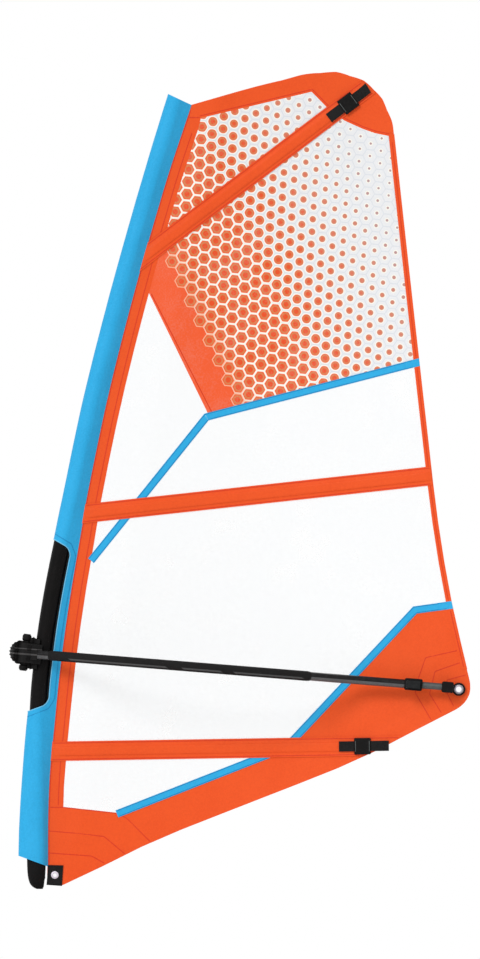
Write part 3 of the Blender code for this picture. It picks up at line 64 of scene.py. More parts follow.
# %% [markdown]
# The rig is drawn in metres, with X aft, Z up and the port side at -Y. The camera looks along +Y from
# the port side. The photograph has no perspective to speak of, so the camera is orthographic, and its
# scale is the height of the picture.

# %% Camera
VIEW_HEIGHT = 1.918
VIEW_CENTRE = (0.4006, 0.819)
CAMERA_AWAY = 6.0


def linked(name, data):
    made = bpy.data.objects.new(name, data)
    bpy.context.scene.collection.objects.link(made)
    return made


camera_data = bpy.data.cameras.new("camera")
camera_data.type = "ORTHO"
camera_data.ortho_scale = VIEW_HEIGHT
camera = linked("camera", camera_data)
camera.location = (VIEW_CENTRE[0], -CAMERA_AWAY, VIEW_CENTRE[1])
camera.rotation_euler = (math.radians(90), 0, 0)
bpy.context.scene.camera = camera
print(f"the camera shows {VIEW_HEIGHT} m of height")

# %% [markdown]
# Most pieces here start in one of two ways. A piece of cloth starts as a copy of its solid, which has
# the right outline but only as many faces as it needs to be straight. It is sliced into small squares
# and then shaped. Other pieces start as a grid or a block that is shaped in edit mode. These helpers
# keep the two ways short.

# %% Helpers for selecting, copying and shading
ROOT, BOOM = "rig", "boom"
WELD, FINE_WELD = 0.00001, 0.000005


def only(piece):
    """Makes one object the selected and active one."""
    bpy.ops.object.select_all(action="DESELECT")
    piece.hide_set(False)
    piece.select_set(True)
    bpy.context.view_layer.objects.active = piece


@contextmanager
def editing(piece):
    """Edit mode on one piece, with all of it selected."""
    only(piece)
    bpy.ops.object.mode_set(mode="EDIT")
    bpy.ops.mesh.select_all(action="SELECT")
    yield
    bpy.ops.object.mode_set(mode="OBJECT")


def copy_of(node, name):
    """A piece that starts as a welded copy of a solid."""
    piece = linked(name, NODES[node].data.copy())
    with editing(piece):
        bpy.ops.mesh.remove_doubles(threshold=FINE_WELD)
    piece.data.materials.clear()
    return piece


def smooth_shaded(piece, degrees):
    only(piece)
    bpy.ops.object.shade_smooth_by_angle(angle=math.radians(degrees))
    return piece


def changed(piece, kind, **settings):
    """Adds a modifier with its settings and applies it."""
    modifier = piece.modifiers.new(kind.lower(), kind)
    for key, value in settings.items():
        setattr(modifier, key, value)
    only(piece)
    bpy.ops.object.modifier_apply(modifier=modifier.name)
    return piece


def weighted(piece, degrees):
    """Keeps the shading of large faces even where small or thin faces lie beside them."""
    return changed(smooth_shaded(piece, degrees), "WEIGHTED_NORMAL", mode="FACE_AREA", keep_sharp=True)


def dressed(piece, material, slot, body, *nodes):
    """Gives a finished piece its finish, the body that it rides on and the solids that it stands for."""
    piece.data.materials.clear()
    piece.data.materials.append(material)
    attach(piece, body)
    if nodes:
        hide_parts(*nodes)
    return piece


print("the pieces ride on", ROOT, "or", BOOM)

# %% [markdown]
# A finish is a small tree of shader nodes. These helpers add a node, join it and set its values in one
# line each, so that the finishes below read like a recipe. Colours are written as they are seen, from
# 0 to 255, and turned into the linear values that a shader uses.

# %% Helpers for shader nodes
GRAIN_DEPTH = 0.0002


def seen(red, green, blue):
    """The linear colour of one that is seen as these values."""
    shares = [value / 255 for value in (red, green, blue)]
    return (*[s / 12.92 if s <= 0.04045 else ((s + 0.055) / 1.055) ** 2.4 for s in shares], 1.0)


class Tree:
    """A node tree with short ways to add a node and to join it to others."""

    def __init__(self, tree):
        self.tree = tree

    def put(self, node, key, value):
        """Joins an input to a node or an output of one, or gives it a plain value."""
        if isinstance(value, bpy.types.Node):
            value = value.outputs[0]
        if isinstance(value, bpy.types.NodeSocket):
            self.tree.links.new(value, node.inputs[key])
        else:
            node.inputs[key].default_value = value

    def add(self, kind, settings=None, **inputs):
        node = self.tree.nodes.new("ShaderNode" + kind)
        for key, value in (settings or {}).items():
            setattr(node, key, value)
        for key, value in inputs.items():
            self.put(node, key.replace("_", " "), value)
        return node

    def place(self):
        return self.add("TexCoord").outputs["Object"]

    def math(self, operation, *values, clamp=False):
        node = self.add("Math", {"operation": operation, "use_clamp": clamp})
        for index, value in enumerate((*values, 0.0, 0.0)[:3]):
            self.put(node, index, value)
        return node.outputs[0]

    def times(self, first, second):
        return self.math("MULTIPLY", first, second)

    def scaled(self, value, by, plus):
        return self.math("MULTIPLY_ADD", value, by, plus)

    def vector(self, operation, first, second=(0.0, 0.0, 0.0), **inputs):
        node = self.add("VectorMath", {"operation": operation}, **inputs)
        self.put(node, 0, first)
        self.put(node, 1, second)
        return node.outputs["Value" if operation == "DOT_PRODUCT" else 0]

    def mix(self, share, first, second):
        node = self.add("Mix", {"data_type": "RGBA"})
        for index, value in ((0, share), (6, first), (7, second)):
            self.put(node, index, value)
        return node.outputs[2]

    def ramp(self, value, low, high, to_low=0.0, to_high=1.0):
        node = self.add("MapRange", {"interpolation_type": "SMOOTHSTEP"}, Value=value, From_Min=low)
        for key, number in (("From Max", high), ("To Min", to_low), ("To Max", to_high)):
            self.put(node, key, number)
        return node.outputs[0]

    def shared(self, name, **inputs):
        """A node for one of the shared effects."""
        node = self.add("Group")
        node.node_tree = bpy.data.node_groups[name]
        for key, value in inputs.items():
            self.put(node, key.replace("_", " "), value)
        return node


class Finish(Tree):
    """A material with a Principled shader; the settings are its plain socket values."""

    def __init__(self, name, **settings):
        self.material = bpy.data.materials.new(name)
        self.material.use_nodes = True
        super().__init__(self.material.node_tree)
        self.shader = self.tree.nodes["Principled BSDF"]
        for key, value in settings.items():
            self.put(self.shader, key.replace("_", " "), value)

    def surface(self, colour, roughness, height, strength, depth=GRAIN_DEPTH):
        """Joins the shader's colour, roughness and bump, and returns the material."""
        lift = self.add("Bump", Height=height, Strength=strength, Distance=depth)
        for key, value in (("Base Color", colour), ("Roughness", roughness), ("Normal", lift)):
            self.put(self.shader, key, value)
        return self.material


def new_group(name, inputs, outputs):
    """A node group with named inputs and outputs; returns its tree and its two end nodes."""
    group = bpy.data.node_groups.new(name, "ShaderNodeTree")
    for way, sockets in (("INPUT", inputs), ("OUTPUT", outputs)):
        for label, kind, *value in sockets:
            socket = group.interface.new_socket(label, in_out=way, socket_type="NodeSocket" + kind)
            if value:
                socket.default_value = value[0]
    return Tree(group), group.nodes.new("NodeGroupInput"), group.nodes.new("NodeGroupOutput")


print(f"a middle grey, 128 of 255, is {seen(128, 128, 128)[0]:.3f} in a shader")

# %% [markdown]
# Nearly every surface of the rig is a little uneven: cloth has threads, plastic has a fine grain, and
# all of it is handled and gets slightly dull in places. These shared effects are node groups, so that
# each finish can place them at its own scale. Each reads Object coordinates, which are metres here.

# %% Shared effects: weave, grain and handling
def woven_group():
    settings = [("Threads per metre", "Float", 1400.0), ("Turn", "Float", 0.0)]
    tree, start, end = new_group("woven_threads", settings, [("Height", "Float"), ("Shade", "Float")])
    place = tree.place()
    turned = tree.add("VectorRotate", {"rotation_type": "Y_AXIS"}, Vector=place)
    tree.put(turned, "Angle", start.outputs["Turn"])
    parts = tree.add("SeparateXYZ", Vector=tree.vector("SCALE", turned, Scale=start))
    across, along = (tree.math("SINE", tree.times(parts.outputs[way], math.pi)) for way in "XZ")
    slub = tree.add("TexNoise", {"noise_dimensions": "3D"}, Vector=place, Scale=220.0, Detail=3.0)
    tree.put(end, "Height", tree.scaled(tree.times(across, along), 0.5, 0.5))
    tree.put(end, "Shade", tree.ramp(slub, 0.3, 0.7))


def grain_group():
    tree, start, end = new_group(
        "moulded_grain", [("Scale", "Float", 900.0)], [("Height", "Float"), ("Patches", "Float")]
    )
    place = tree.place()
    fine = tree.add("TexNoise", Vector=place, Scale=start, Detail=4.0, Roughness=0.6)
    wide = tree.add("TexNoise", Vector=place, Scale=18.0, Detail=3.0)
    tree.put(end, "Height", fine)
    tree.put(end, "Patches", tree.ramp(wide, 0.35, 0.65))


def handling_group():
    tree, start, end = new_group("handling_marks", [("Size", "Float", 25.0)], [("Mask", "Float")])
    place = tree.place()
    broad = tree.add("TexNoise", Vector=place, Scale=start, Detail=5.0, Roughness=0.65)
    scuffs = tree.add("TexNoise", Vector=place, Scale=340.0, Detail=2.0)
    tree.put(end, "Mask", tree.ramp(tree.times(broad, scuffs), 0.18, 0.36))


woven_group()
grain_group()
handling_group()
print("effects:", sorted(group.name for group in bpy.data.node_groups))

# %% [markdown]
# Sailcloth is a tight polyester weave with a smooth, slightly stiff finish. It could be a plain colour
# with a bump, but real cloth also varies a little in shade along its threads, and is more matt where it
# has been handled. One maker function builds that for any colour.

# %% Sailcloth, webbing and thread
def cloth(name, colour, darker, roughness=0.55, threads=1400.0, bump=0.12, sheen=0.0):
    look = Finish(name, Sheen_Weight=sheen, Sheen_Roughness=0.4, Specular_IOR_Level=0.25)
    weave = look.shared("woven_threads", Threads_per_metre=threads)
    marks = look.shared("handling_marks", Size=14.0)
    shade = look.scaled(marks, 0.35, look.times(weave.outputs["Shade"], 0.35))
    return look.surface(look.mix(shade, colour, darker), look.scaled(marks, 0.12, roughness), weave, bump)


ORANGE_CLOTH = cloth("orange_sailcloth", seen(240, 86, 26), seen(230, 78, 26))
BLUE_CLOTH = cloth("blue_sailcloth", seen(43, 174, 229), seen(38, 163, 217))
BLUE_SLEEVE = cloth("blue_sleeve_cloth", seen(43, 174, 229), seen(36, 160, 214), threads=1100.0, bump=0.2)
# The paler blue of the cutout's binding is a painted highlight along the edge of the opening.
BLUE_EDGE_PAINTED_HIGHLIGHT = cloth("blue_binding_painted_highlight", seen(120, 200, 238), seen(96, 188, 230))
WEBBING = cloth("black_webbing", seen(17, 16, 16), seen(10, 10, 10), 0.75, 620.0, 0.5, 0.05)
ORANGE_THREAD = cloth("orange_thread", seen(214, 62, 34), seen(200, 54, 30), 0.6, 3000.0, 0.4)
BLUE_THREAD = cloth("blue_thread", seen(24, 138, 192), seen(20, 124, 178), 0.6, 3000.0, 0.4)
print("cloths and threads in", ORANGE_CLOTH.name, BLUE_CLOTH.name, WEBBING.name)

# %% [markdown]
# The windows are clear polyester film. Clear film could be modelled as glass, but glass bends what is
# behind it and a film this thin doesn't, so it is a glossy surface that is mostly see-through. It is a
# little milky where it has been creased, and its gloss is broken up by soft waves.

# %% Clear film
def clear_film():
    look = Finish("clear_window_film", IOR=1.5)
    place = look.place()
    waves = look.add("TexNoise", Vector=place, Scale=9.0, Detail=2.0, Distortion=0.6)
    folds = look.add("TexNoise", Vector=place, Scale=16.0, Detail=3.0, Roughness=0.5)
    milky = look.ramp(folds, 0.42, 0.8)
    look.put(look.shader, "Alpha", look.scaled(milky, 0.10, 0.20))
    colour = look.mix(milky, seen(244, 247, 249), seen(252, 253, 253))
    return look.surface(colour, look.scaled(milky, 0.18, 0.09), waves, 0.12, 0.002)


FILM = clear_film()
print("film:", FILM.name)

# %% [markdown]
# The hard parts are black: a laminated mast, rubber, moulded plastic, anodised tubes. Black is where a
# plain colour looks most false, because all that the eye gets is how the surface scatters light. Each
# gets its own grain and its own spread of gloss, and only the metal ones are metallic.

# %% Hard finishes
def moulded(name, colour, worn, roughness, scale, bump, metallic=0.0, spread=0.15, specular=0.1):
    look = Finish(name, Metallic=metallic, Specular_IOR_Level=specular)
    grain = look.shared("moulded_grain", Scale=scale)
    marks = look.shared("handling_marks", Size=40.0)
    dull = look.scaled(grain.outputs["Patches"], spread, roughness)
    shade = look.mix(look.times(marks, 0.6), colour, worn)
    return look.surface(shade, look.scaled(marks, spread, dull), grain, bump)


BLACK, WORN_BLACK = seen(15, 14, 14), seen(29, 28, 28)
LAMINATE = moulded(
    "black_mast_laminate", seen(13, 12, 12), seen(21, 19, 19), 0.36, 420.0, 0.10, specular=0.07
)
RUBBER = moulded("black_rubber", BLACK, seen(26, 25, 25), 0.66, 1500.0, 0.35)
PLASTIC = moulded("black_moulded_plastic", BLACK, WORN_BLACK, 0.42, 1200.0, 0.25)
GREY_TUBE = moulded("grey_anodised_tube", seen(84, 88, 88), seen(100, 104, 104), 0.36, 300.0, 0.05, 0.7)
STEEL = moulded("stainless_steel", seen(214, 208, 218), seen(198, 194, 204), 0.42, 500.0, 0.06, 0.7, 0.08)
GLASS_ROD = moulded("glass_fibre_rod", seen(214, 208, 190), seen(196, 190, 172), 0.42, 800.0, 0.2)

SIDES = ((-1, "port"), (1, "starboard"))
CARRIED = {
    "mast_ferrule": GLASS_ROD,
    "mast_top_cap": PLASTIC,
    "head_rubber_pad": RUBBER,
    "head_rear_band": WEBBING,
    "tack_eyelet": STEEL,
    "clew_eyelet": STEEL,
}
for _, side in SIDES:
    CARRIED[side + "_clew_ring"] = PLASTIC
    CARRIED[side + "_lever_pin"] = STEEL
    CARRIED[side + "_tail_leg"] = GREY_TUBE
for node, material in CARRIED.items():
    for slot in NODES[node].material_slots:
        slot.material = material
print(f"{len(CARRIED)} solids keep their shape and get a finish")

# %% [markdown]
# The head of the sail is a white laminate with a printed honeycomb. Near the luff its cells are full
# and orange with white lines between them; towards the leech they shrink to round dots and lose their
# colour. The pattern could be drawn as hundreds of small shapes, but a print has no thickness, so it
# is worked out in the material. Every point finds the middle of its own cell, and the size and colour
# of the dot are read at that middle, so that a dot never changes within itself.

# %% The honeycomb print
CELL_AT = (0.5633, 1.2752)
CELL_ROW, CELL_COLUMN = (0.0422, -0.0042), (0.0016, 0.0249)
ROW_PITCH, COLUMN_PITCH = 0.0424, 0.0249
DOT_AT_LUFF, DOT_LOSS, FADE_LEAN = 0.0353, 0.0247, 0.465
SMALLEST_DOT, LARGEST_DOT, FULL_CELL = 0.0024, 0.0105, (0.0085, 0.0108)
PALE_DOTS, FAINT_DOTS = (0.0100, 0.0034), (0.0048, 0.0026)
HALO_WIDTH, RING_SHARES, EDGE_SOFTNESS = 0.0020, (0.52, 0.80), 0.0004
FIRST_CELL, OUTLINE_WHITE = 0.838, 0.905
HEXAGON_SIDE, HEXAGON_TOP = 0.866, 0.5


def honeycomb_group():
    tree, start, end = new_group(
        "honeycomb_print", [("Line width", "Float", 0.0011)], [("Colour", "Color"), ("Ink", "Float")]
    )
    math_of, times, scaled, mix = tree.math, tree.times, tree.scaled, tree.mix
    parts = tree.add("SeparateXYZ", Vector=tree.place())
    x = math_of("SUBTRACT", parts.outputs["X"], CELL_AT[0])
    z = math_of("SUBTRACT", parts.outputs["Z"], CELL_AT[1])
    turn = CELL_ROW[0] * CELL_COLUMN[1] - CELL_ROW[1] * CELL_COLUMN[0]
    u = scaled(x, CELL_COLUMN[1] / turn * ROW_PITCH, times(z, -CELL_COLUMN[0] / turn * ROW_PITCH))
    v = scaled(x, -CELL_ROW[1] / turn * COLUMN_PITCH, times(z, CELL_ROW[0] / turn * COLUMN_PITCH))

    def lattice(shift):
        """Place in the nearest cell of one of the two square lattices that make the honeycomb."""
        across, upward = (
            math_of("WRAP", math_of("ADD", value, shift * pitch), pitch / 2, -pitch / 2)
            for value, pitch in ((u, ROW_PITCH), (v, COLUMN_PITCH))
        )
        return across, upward, scaled(across, across, times(upward, upward))

    first, second = lattice(0.0), lattice(0.5)
    nearer = math_of("LESS_THAN", second[2], first[2])
    cell_u, cell_v, square = (
        scaled(nearer, math_of("SUBTRACT", other, one), one) for one, other in zip(first, second)
    )
    middle_u, middle_v = math_of("SUBTRACT", u, cell_u), math_of("SUBTRACT", v, cell_v)
    by_u = (CELL_ROW[0] + FADE_LEAN * CELL_ROW[1]) / ROW_PITCH
    by_v = (CELL_COLUMN[0] + FADE_LEAN * CELL_COLUMN[1]) / COLUMN_PITCH
    fade = scaled(middle_v, by_v, scaled(middle_u, by_u, CELL_AT[0] + FADE_LEAN * CELL_AT[1]))
    radius = math_of("MAXIMUM", scaled(fade, -DOT_LOSS, DOT_AT_LUFF), SMALLEST_DOT)
    radius = math_of("MINIMUM", radius, LARGEST_DOT)
    round_reach = math_of("SQRT", square)
    side_u, side_v = math_of("ABSOLUTE", cell_u), math_of("ABSOLUTE", cell_v)
    slanted = scaled(side_u, HEXAGON_SIDE, times(side_v, HEXAGON_TOP))
    hexagon_reach = math_of("MAXIMUM", slanted, side_v)
    full = tree.ramp(radius, *FULL_CELL)
    reach = scaled(full, math_of("SUBTRACT", hexagon_reach, round_reach), round_reach)

    def inside(value, edge, soft=EDGE_SOFTNESS):
        return tree.ramp(math_of("SUBTRACT", value, edge), -soft, soft, 1.0, 0.0)

    dot = inside(reach, radius)
    halo = inside(reach, math_of("ADD", radius, HALO_WIDTH), 0.0006)
    ring_in, ring_out = (inside(round_reach, times(radius, share), 0.0007) for share in RING_SHARES)
    ring = math_of("SUBTRACT", ring_out, ring_in, clamp=True)
    edge = math_of("SUBTRACT", COLUMN_PITCH / 2, start.outputs["Line width"])
    outline = math_of("SUBTRACT", 1.0, inside(hexagon_reach, edge, 0.0005))
    pale = tree.ramp(radius, *PALE_DOTS)
    ink = mix(pale, seen(238, 96, 40), seen(208, 140, 120))
    ink = mix(tree.ramp(radius, *FAINT_DOTS), ink, seen(176, 158, 166))
    ink = mix(times(ring, scaled(pale, -0.40, 0.72)), ink, seen(204, 138, 84))
    ink = mix(times(ring_in, scaled(pale, -0.5, 0.7)), ink, seen(230, 70, 16))
    ground = mix(times(outline, 0.55), seen(234, 235, 237), seen(208, 215, 224))
    ground = mix(halo, ground, seen(252, 248, 236))
    ground = mix(tree.ramp(fade, FIRST_CELL - 0.01, OUTLINE_WHITE), seen(247, 160, 112), ground)
    started = math_of("GREATER_THAN", fade, FIRST_CELL)
    tree.put(end, "Colour", mix(started, seen(243, 92, 42), mix(dot, ground, ink)))
    tree.put(end, "Ink", dot)


def printed_laminate():
    look = Finish("printed_laminate", Specular_IOR_Level=0.3)
    print_node = look.shared("honeycomb_print", Line_width=0.0011)
    weave = look.shared("woven_threads", Threads_per_metre=900.0)
    marks = look.shared("handling_marks", Size=11.0)
    colour = print_node.outputs["Colour"]
    shade = look.mix(look.times(marks, 0.6), colour, look.mix(0.12, colour, seen(225, 222, 216)))
    gloss = look.scaled(print_node.outputs["Ink"], 0.08, 0.40)
    return look.surface(shade, look.scaled(marks, 0.1, gloss), weave, 0.08)


honeycomb_group()
PRINTED = printed_laminate()
print(f"honeycomb cells {COLUMN_PITCH * 1000:.1f} mm apart")

# %% [markdown]
# The middle of the rig is set by a few curves: the mast's bend, the edge of the sleeve that the sail is
# sewn to, and the belly of the sail. They are repeated here because the smooth pieces need them between
# the places where the solids have their corners.

# %% The mast's bend, the luff seam and the belly
LUFF_TOP = 1.568
MAST_RADIUS = 0.017
MAST_HEIGHT_SHARE = [0.0, 0.08801, 0.19005, 0.26658, 0.36862, 0.49617, 0.62372, 0.75128, 0.87883, 1.00638]
MAST_AFT = [-0.0054, -0.0074, -0.0050, 0.0010, 0.0228, 0.0634, 0.1060, 0.1562, 0.2122, 0.2722]
MAST_AXIS = [(share * LUFF_TOP, aft) for share, aft in zip(MAST_HEIGHT_SHARE, MAST_AFT)]
SLEEVE_BACK = [
    (0.046, 0.0215), (0.218, 0.0250), (0.378, 0.0350), (0.538, 0.0362), (0.698, 0.0324), (0.790, 0.0283),
    (LUFF_TOP - 0.168, 0.0283), (LUFF_TOP, 0.0330),
]
CAMBER = [
    (0.100, 0.0), (0.150, 0.007), (0.220, 0.015), (0.325, 0.022), (0.415, 0.023), (0.500, 0.0195),
    (0.580, 0.014), (0.695, 0.006), (0.785, 0.0),
]
CHORD_FOOT = Vector((0.0146, 0.046))
CHORD_HEAD = Vector((0.3026, LUFF_TOP))
CHORD_SET_BACK = 0.059


def smooth(table, flat_ends=False):
    """A smooth curve through a short table of pairs, as a function of the first number."""
    places = [row[0] for row in table]
    values = [row[1] for row in table]
    last = len(table) - 1
    slopes = []
    for i in range(len(table)):
        low, high = max(i - 1, 0), min(i + 1, last)
        slopes.append((values[high] - values[low]) / (places[high] - places[low]))
    if flat_ends:
        slopes[0] = slopes[-1] = 0.0

    def value(place):
        i = min(max(bisect.bisect_right(places, place) - 1, 0), last - 1)
        span = places[i + 1] - places[i]
        t = (place - places[i]) / span
        if not 0 <= t <= 1:
            end = min(max(round(t), 0), 1)
            return values[i + end] + slopes[i + end] * (place - places[i + end])
        return (
            values[i] * (2 * t**3 - 3 * t**2 + 1)
            + slopes[i] * span * (t**3 - 2 * t**2 + t)
            + values[i + 1] * (3 * t**2 - 2 * t**3)
            + slopes[i + 1] * span * (t**3 - t**2)
        )

    return value


def straight(table):
    """The same table joined by straight lines, as the solids have it."""
    places = [row[0] for row in table]

    def value(place):
        if place <= places[0]:
            return table[0][1]
        if place >= places[-1]:
            return table[-1][1]
        i = bisect.bisect_right(places, place) - 1
        share = (place - places[i]) / (places[i + 1] - places[i])
        return table[i][1] + share * (table[i + 1][1] - table[i][1])

    return value


mast_x = smooth(MAST_AXIS)
sleeve_back = smooth(SLEEVE_BACK)
belly_smooth = smooth(CAMBER, flat_ends=True)
belly_straight = straight(CAMBER)
chord = (CHORD_HEAD - CHORD_FOOT).normalized()
CHORD_AFT = Vector((chord.y, -chord.x))
CHORD_ORIGIN = CHORD_FOOT - CHORD_AFT * CHORD_SET_BACK


def seam_at(z):
    return mast_x(z) + sleeve_back(z)


def ways_of(start, end):
    """The way along a flat line and the way square to it."""
    along = (end - start).normalized()
    return along, Vector((-along.y, along.x))


def ahead_at(points, i):
    """The way that a line of points runs at one of them."""
    return (points[min(i + 1, len(points) - 1)] - points[max(i - 1, 0)]).normalized()


def chord_place(x, z):
    return (Vector((x, z)) - CHORD_ORIGIN).dot(CHORD_AFT)


print(f"mast axis {mast_x(0):.4f} at the foot and {mast_x(LUFF_TOP):.4f} at the head")

# %% [markdown]
# A sail that is tensioned in a frame isn't perfectly even. Soft creases run out from the tack and the
# clew, where the load comes in, and the film between them is slightly wavy. They could be painted, but
# a real change of shape also changes the outline and the gloss. All layers of the sail move by one and
# the same amount at the same place, so that a seam, a pocket or a buckle never parts from the cloth.

# %% The small waves of a tensioned sail
WAVE, CREASE = 0.0011, 0.0008
TACK, CLEW = Vector((0.0302, 0.028)), Vector((0.8382, 0.3994))
TACK_CALM, CLEW_CALM = (0.060, 0.16), (0.045, 0.14)


def eased(value, low, high):
    t = min(max((value - low) / (high - low), 0.0), 1.0)
    return t * t * (3 - 2 * t)


def crease_from(corner, x, z, rays, reach):
    away = Vector((x, z)) - corner
    distance = away.length
    angle = math.atan2(away.y, away.x)
    fade = math.exp(-distance / reach)
    return math.sin(angle * rays + 1.3 * math.sin(distance * 9.0)) * fade


def sail_shift(x, z):
    """How far a point of the sail moves to starboard from its solid: a smooth belly and small waves."""
    place = chord_place(x, z)
    calm = eased(x - seam_at(z), 0.004, 0.090)
    calm *= eased((Vector((x, z)) - TACK).length, *TACK_CALM)
    calm *= eased((Vector((x, z)) - CLEW).length, *CLEW_CALM)
    waves = noise.noise(Vector((x * 7.0, z * 4.5, 3.7))) * WAVE
    waves += noise.noise(Vector((x * 19.0, z * 13.0, 8.2))) * WAVE * 0.35
    creases = crease_from(CLEW, x, z, 23.0, 0.22) + crease_from(TACK, x, z, 21.0, 0.18)
    belly = 0.0
    if CAMBER[0][0] < place < CAMBER[-1][0]:
        belly = belly_smooth(place) - belly_straight(place)
    return belly + calm * (waves + creases * CREASE)


print(f"the middle window moves {sail_shift(0.45, 0.6) * 1000:.2f} mm to starboard at its centre")

# %% [markdown]
# The solids follow the edge of the sail with straight runs between points on it. A real sail is cut
# along a batten that is bent through those points. A curve through the same points, with a direction at
# each that is weighed by the lengths of the runs beside it, does this without waves, and whatever lies
# close to the edge moves out with it.

# %% The curved edge of the sail
HEAD_RUN = [
    (0.3350, 0.011), (0.3960, 0.027), (0.4826, 0.049), (0.5606, 0.064), (0.6206, 0.058), (0.6686, 0.030),
    (0.6946, -0.010), (0.7076, -0.050), (0.7406, -0.350),
]
CLEW_RUN = [
    (0.8226, 0.578), (0.8596, 0.418), (0.8612, 0.401), (0.8588, 0.388), (0.8506, 0.374), (0.8306, 0.358),
    (0.7526, 0.318),
]
EDGES = [[Vector((aft, LUFF_TOP + rise)) for aft, rise in HEAD_RUN], [Vector(point) for point in CLEW_RUN]]
EDGE_NEAR, EDGE_FAR = 0.0025, 0.016


def direction_at(edge, i):
    """The way an edge runs at one of its points: along its straight neighbour where the curve ends."""
    before, after = (edge[i] - edge[i - 1]), (edge[i + 1] - edge[i])
    if i == 1:
        return before.normalized()
    if i == len(edge) - 2:
        return after.normalized()
    mixed = before.normalized() * after.length + after.normalized() * before.length
    return mixed.normalized()


def curve_offset(edge, i, t):
    """How far the curve through an edge's points lies from the straight run after point i."""
    run = edge[i + 1] - edge[i]
    out = Vector((-run.y, run.x)).normalized()
    leaving = direction_at(edge, i) * (t**3 - 2 * t**2 + t)
    arriving = direction_at(edge, i + 1) * (t**3 - t**2)
    return out * (out.dot(leaving + arriving) * run.length)


def rounding(x, z):
    """How far a point near the edge of the sail moves with its curve."""
    point, best, found = Vector((x, z)), EDGE_FAR, None
    for edge in EDGES:
        for i in range(1, len(edge) - 2):
            run = edge[i + 1] - edge[i]
            t = min(max((point - edge[i]).dot(run) / run.length_squared, 0.0), 1.0)
            reach = (point - edge[i] - run * t).length
            if reach < best:
                best, found = reach, (edge, i, t)
    if found is None:
        return Vector()
    moved = curve_offset(*found) * (1 - eased(best, EDGE_NEAR, EDGE_FAR))
    return Vector((moved.x, 0.0, moved.y))


print(f"the edge moves out by {rounding(0.645, LUFF_TOP + 0.0435).length * 1000:.1f} mm at the head")

# %% [markdown]
# Each piece of the sail's body starts as a copy of its solid, which has the right outline. It is cut
# into small squares with bisect, one straight cut after another, and then every point is moved to
# starboard or port by the same rule. Subdividing would be quicker, but the long thin triangles of the
# copy would stay long and thin, and would fold in the wrong places.

# %% Slice a copy and shape it
SLICE, SLICE_MARGIN = 0.020, 0.0005
BINDING_TOP, BINDING_REACH = 1.4995, Vector((-0.0011, 0.0, 0.010))
SEAM_CLOSING, EDGE_FACE = 0.00019, 0.3


def sliced(piece, step):
    """Cuts a piece into squares with planes that all pieces share."""
    corners = [Vector(corner) for corner in piece.bound_box]
    with editing(piece):
        for axis, normal in ((0, (1, 0, 0)), (2, (0, 0, 1))):
            low, high = (pick(corner[axis] for corner in corners) for pick in (min, max))
            first, last = math.ceil((low + SLICE_MARGIN) / step), math.floor((high - SLICE_MARGIN) / step)
            for index in range(first, last + 1):
                point = [0.0, 0.0, 0.0]
                point[axis] = index * step
                bpy.ops.mesh.select_all(action="SELECT")
                bpy.ops.mesh.bisect(plane_co=point, plane_no=normal, threshold=WELD)
    return piece


def closed_up(piece):
    """Panels that are sewn together meet, so each grows by the hair's breadth between the solids."""
    ways = {}
    for face in piece.data.polygons:
        if abs(face.normal.y) < EDGE_FACE:
            for index in face.vertices:
                ways[index] = ways.get(index, Vector()) + face.normal * face.area
    for index, way in ways.items():
        piece.data.vertices[index].co += Vector((way.x, 0.0, way.z)).normalized() * SEAM_CLOSING
    piece.data.update()


def sail_shaped(piece):
    for vert in piece.data.vertices:
        vert.co += rounding(vert.co.x, vert.co.z)
        vert.co.y += sail_shift(vert.co.x, vert.co.z)
    piece.data.update()
    return piece


def sail_piece(node, material, slot, step):
    piece = copy_of(node, node + "_cloth")
    if node.endswith(("_panel", "_window")) or node.startswith("printed"):
        closed_up(piece)
    sliced(piece, step)
    if node == "leech_binding":
        for vert in piece.data.vertices:
            if vert.co.z > BINDING_TOP:
                vert.co += BINDING_REACH
    return dressed(weighted(sail_shaped(piece), 40), material, slot, ROOT, node)


LAYERS = (
    (ORANGE_CLOTH, "orange_cloth", ("tack_panel", "foot_panel", "luff_panel", "head_panel")),
    (PRINTED, "printed_cloth", ("printed_panel_upper", "printed_panel_lower")),
    (FILM, "clear_film", ("luff_window", "upper_window", "middle_window", "lower_window")),
    (BLUE_CLOTH, "blue_cloth", ("luff_seam_tape", "upper_seam_tape", "clew_seam_tape", "foot_seam_tape")),
    (ORANGE_CLOTH, "orange_cloth", ("leech_binding",)),
    (GLASS_ROD, "glass_fibre", ("upper_batten", "middle_batten", "lower_batten")),
    (WEBBING, "black_webbing", ("tack_patch", "upper_tension_strap", "lower_tension_strap")),
    (PLASTIC, "black_plastic", ("upper_tension_buckle", "lower_tension_buckle")),
)
SLIDING = {"upper_tension_strap": "upper_strap", "lower_tension_strap": "lower_strap"}
FINE_SLICES = {"head_panel": 0.006, "foot_panel": 0.010, "leech_binding": 0.010}
SAIL = {}
for material, slot, nodes in LAYERS:
    for node in nodes:
        SAIL[node] = sail_piece(node, material, slot, FINE_SLICES.get(node, SLICE))
        if node in SLIDING:
            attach(SAIL[node], SLIDING[node])
print({name: len(piece.data.polygons) for name, piece in SAIL.items()})

# %% [markdown]
# The luff sleeve is a long pocket of blue cloth that the mast slides into. Cut across, it is a teardrop:
# round in front of the mast and drawn out straight to the seam behind it. Points on the cloth could be
# placed by hand, but everything on the sleeve has to follow the bent mast, so it is all placed on such
# sections, by how far round them it lies, from the seam to the front.

# %% Sections of the sleeve
SLEEVE_RADIUS, SLEEVE_TIP, SLEEVE_THICKNESS, SEAM_COVER = 0.0188, 0.0011, 0.0005, 0.0015
SLOPE_STEP = 0.010


def drop_parts(radius, tip):
    """The angle where a section's straight flank meets its round front, and the lengths of the two."""
    meets = math.acos(min(radius / tip, 0.99))
    flank = math.hypot(tip - radius * math.cos(meets), radius * math.sin(meets) - SLEEVE_TIP)
    return meets, flank, radius * (math.pi - meets)


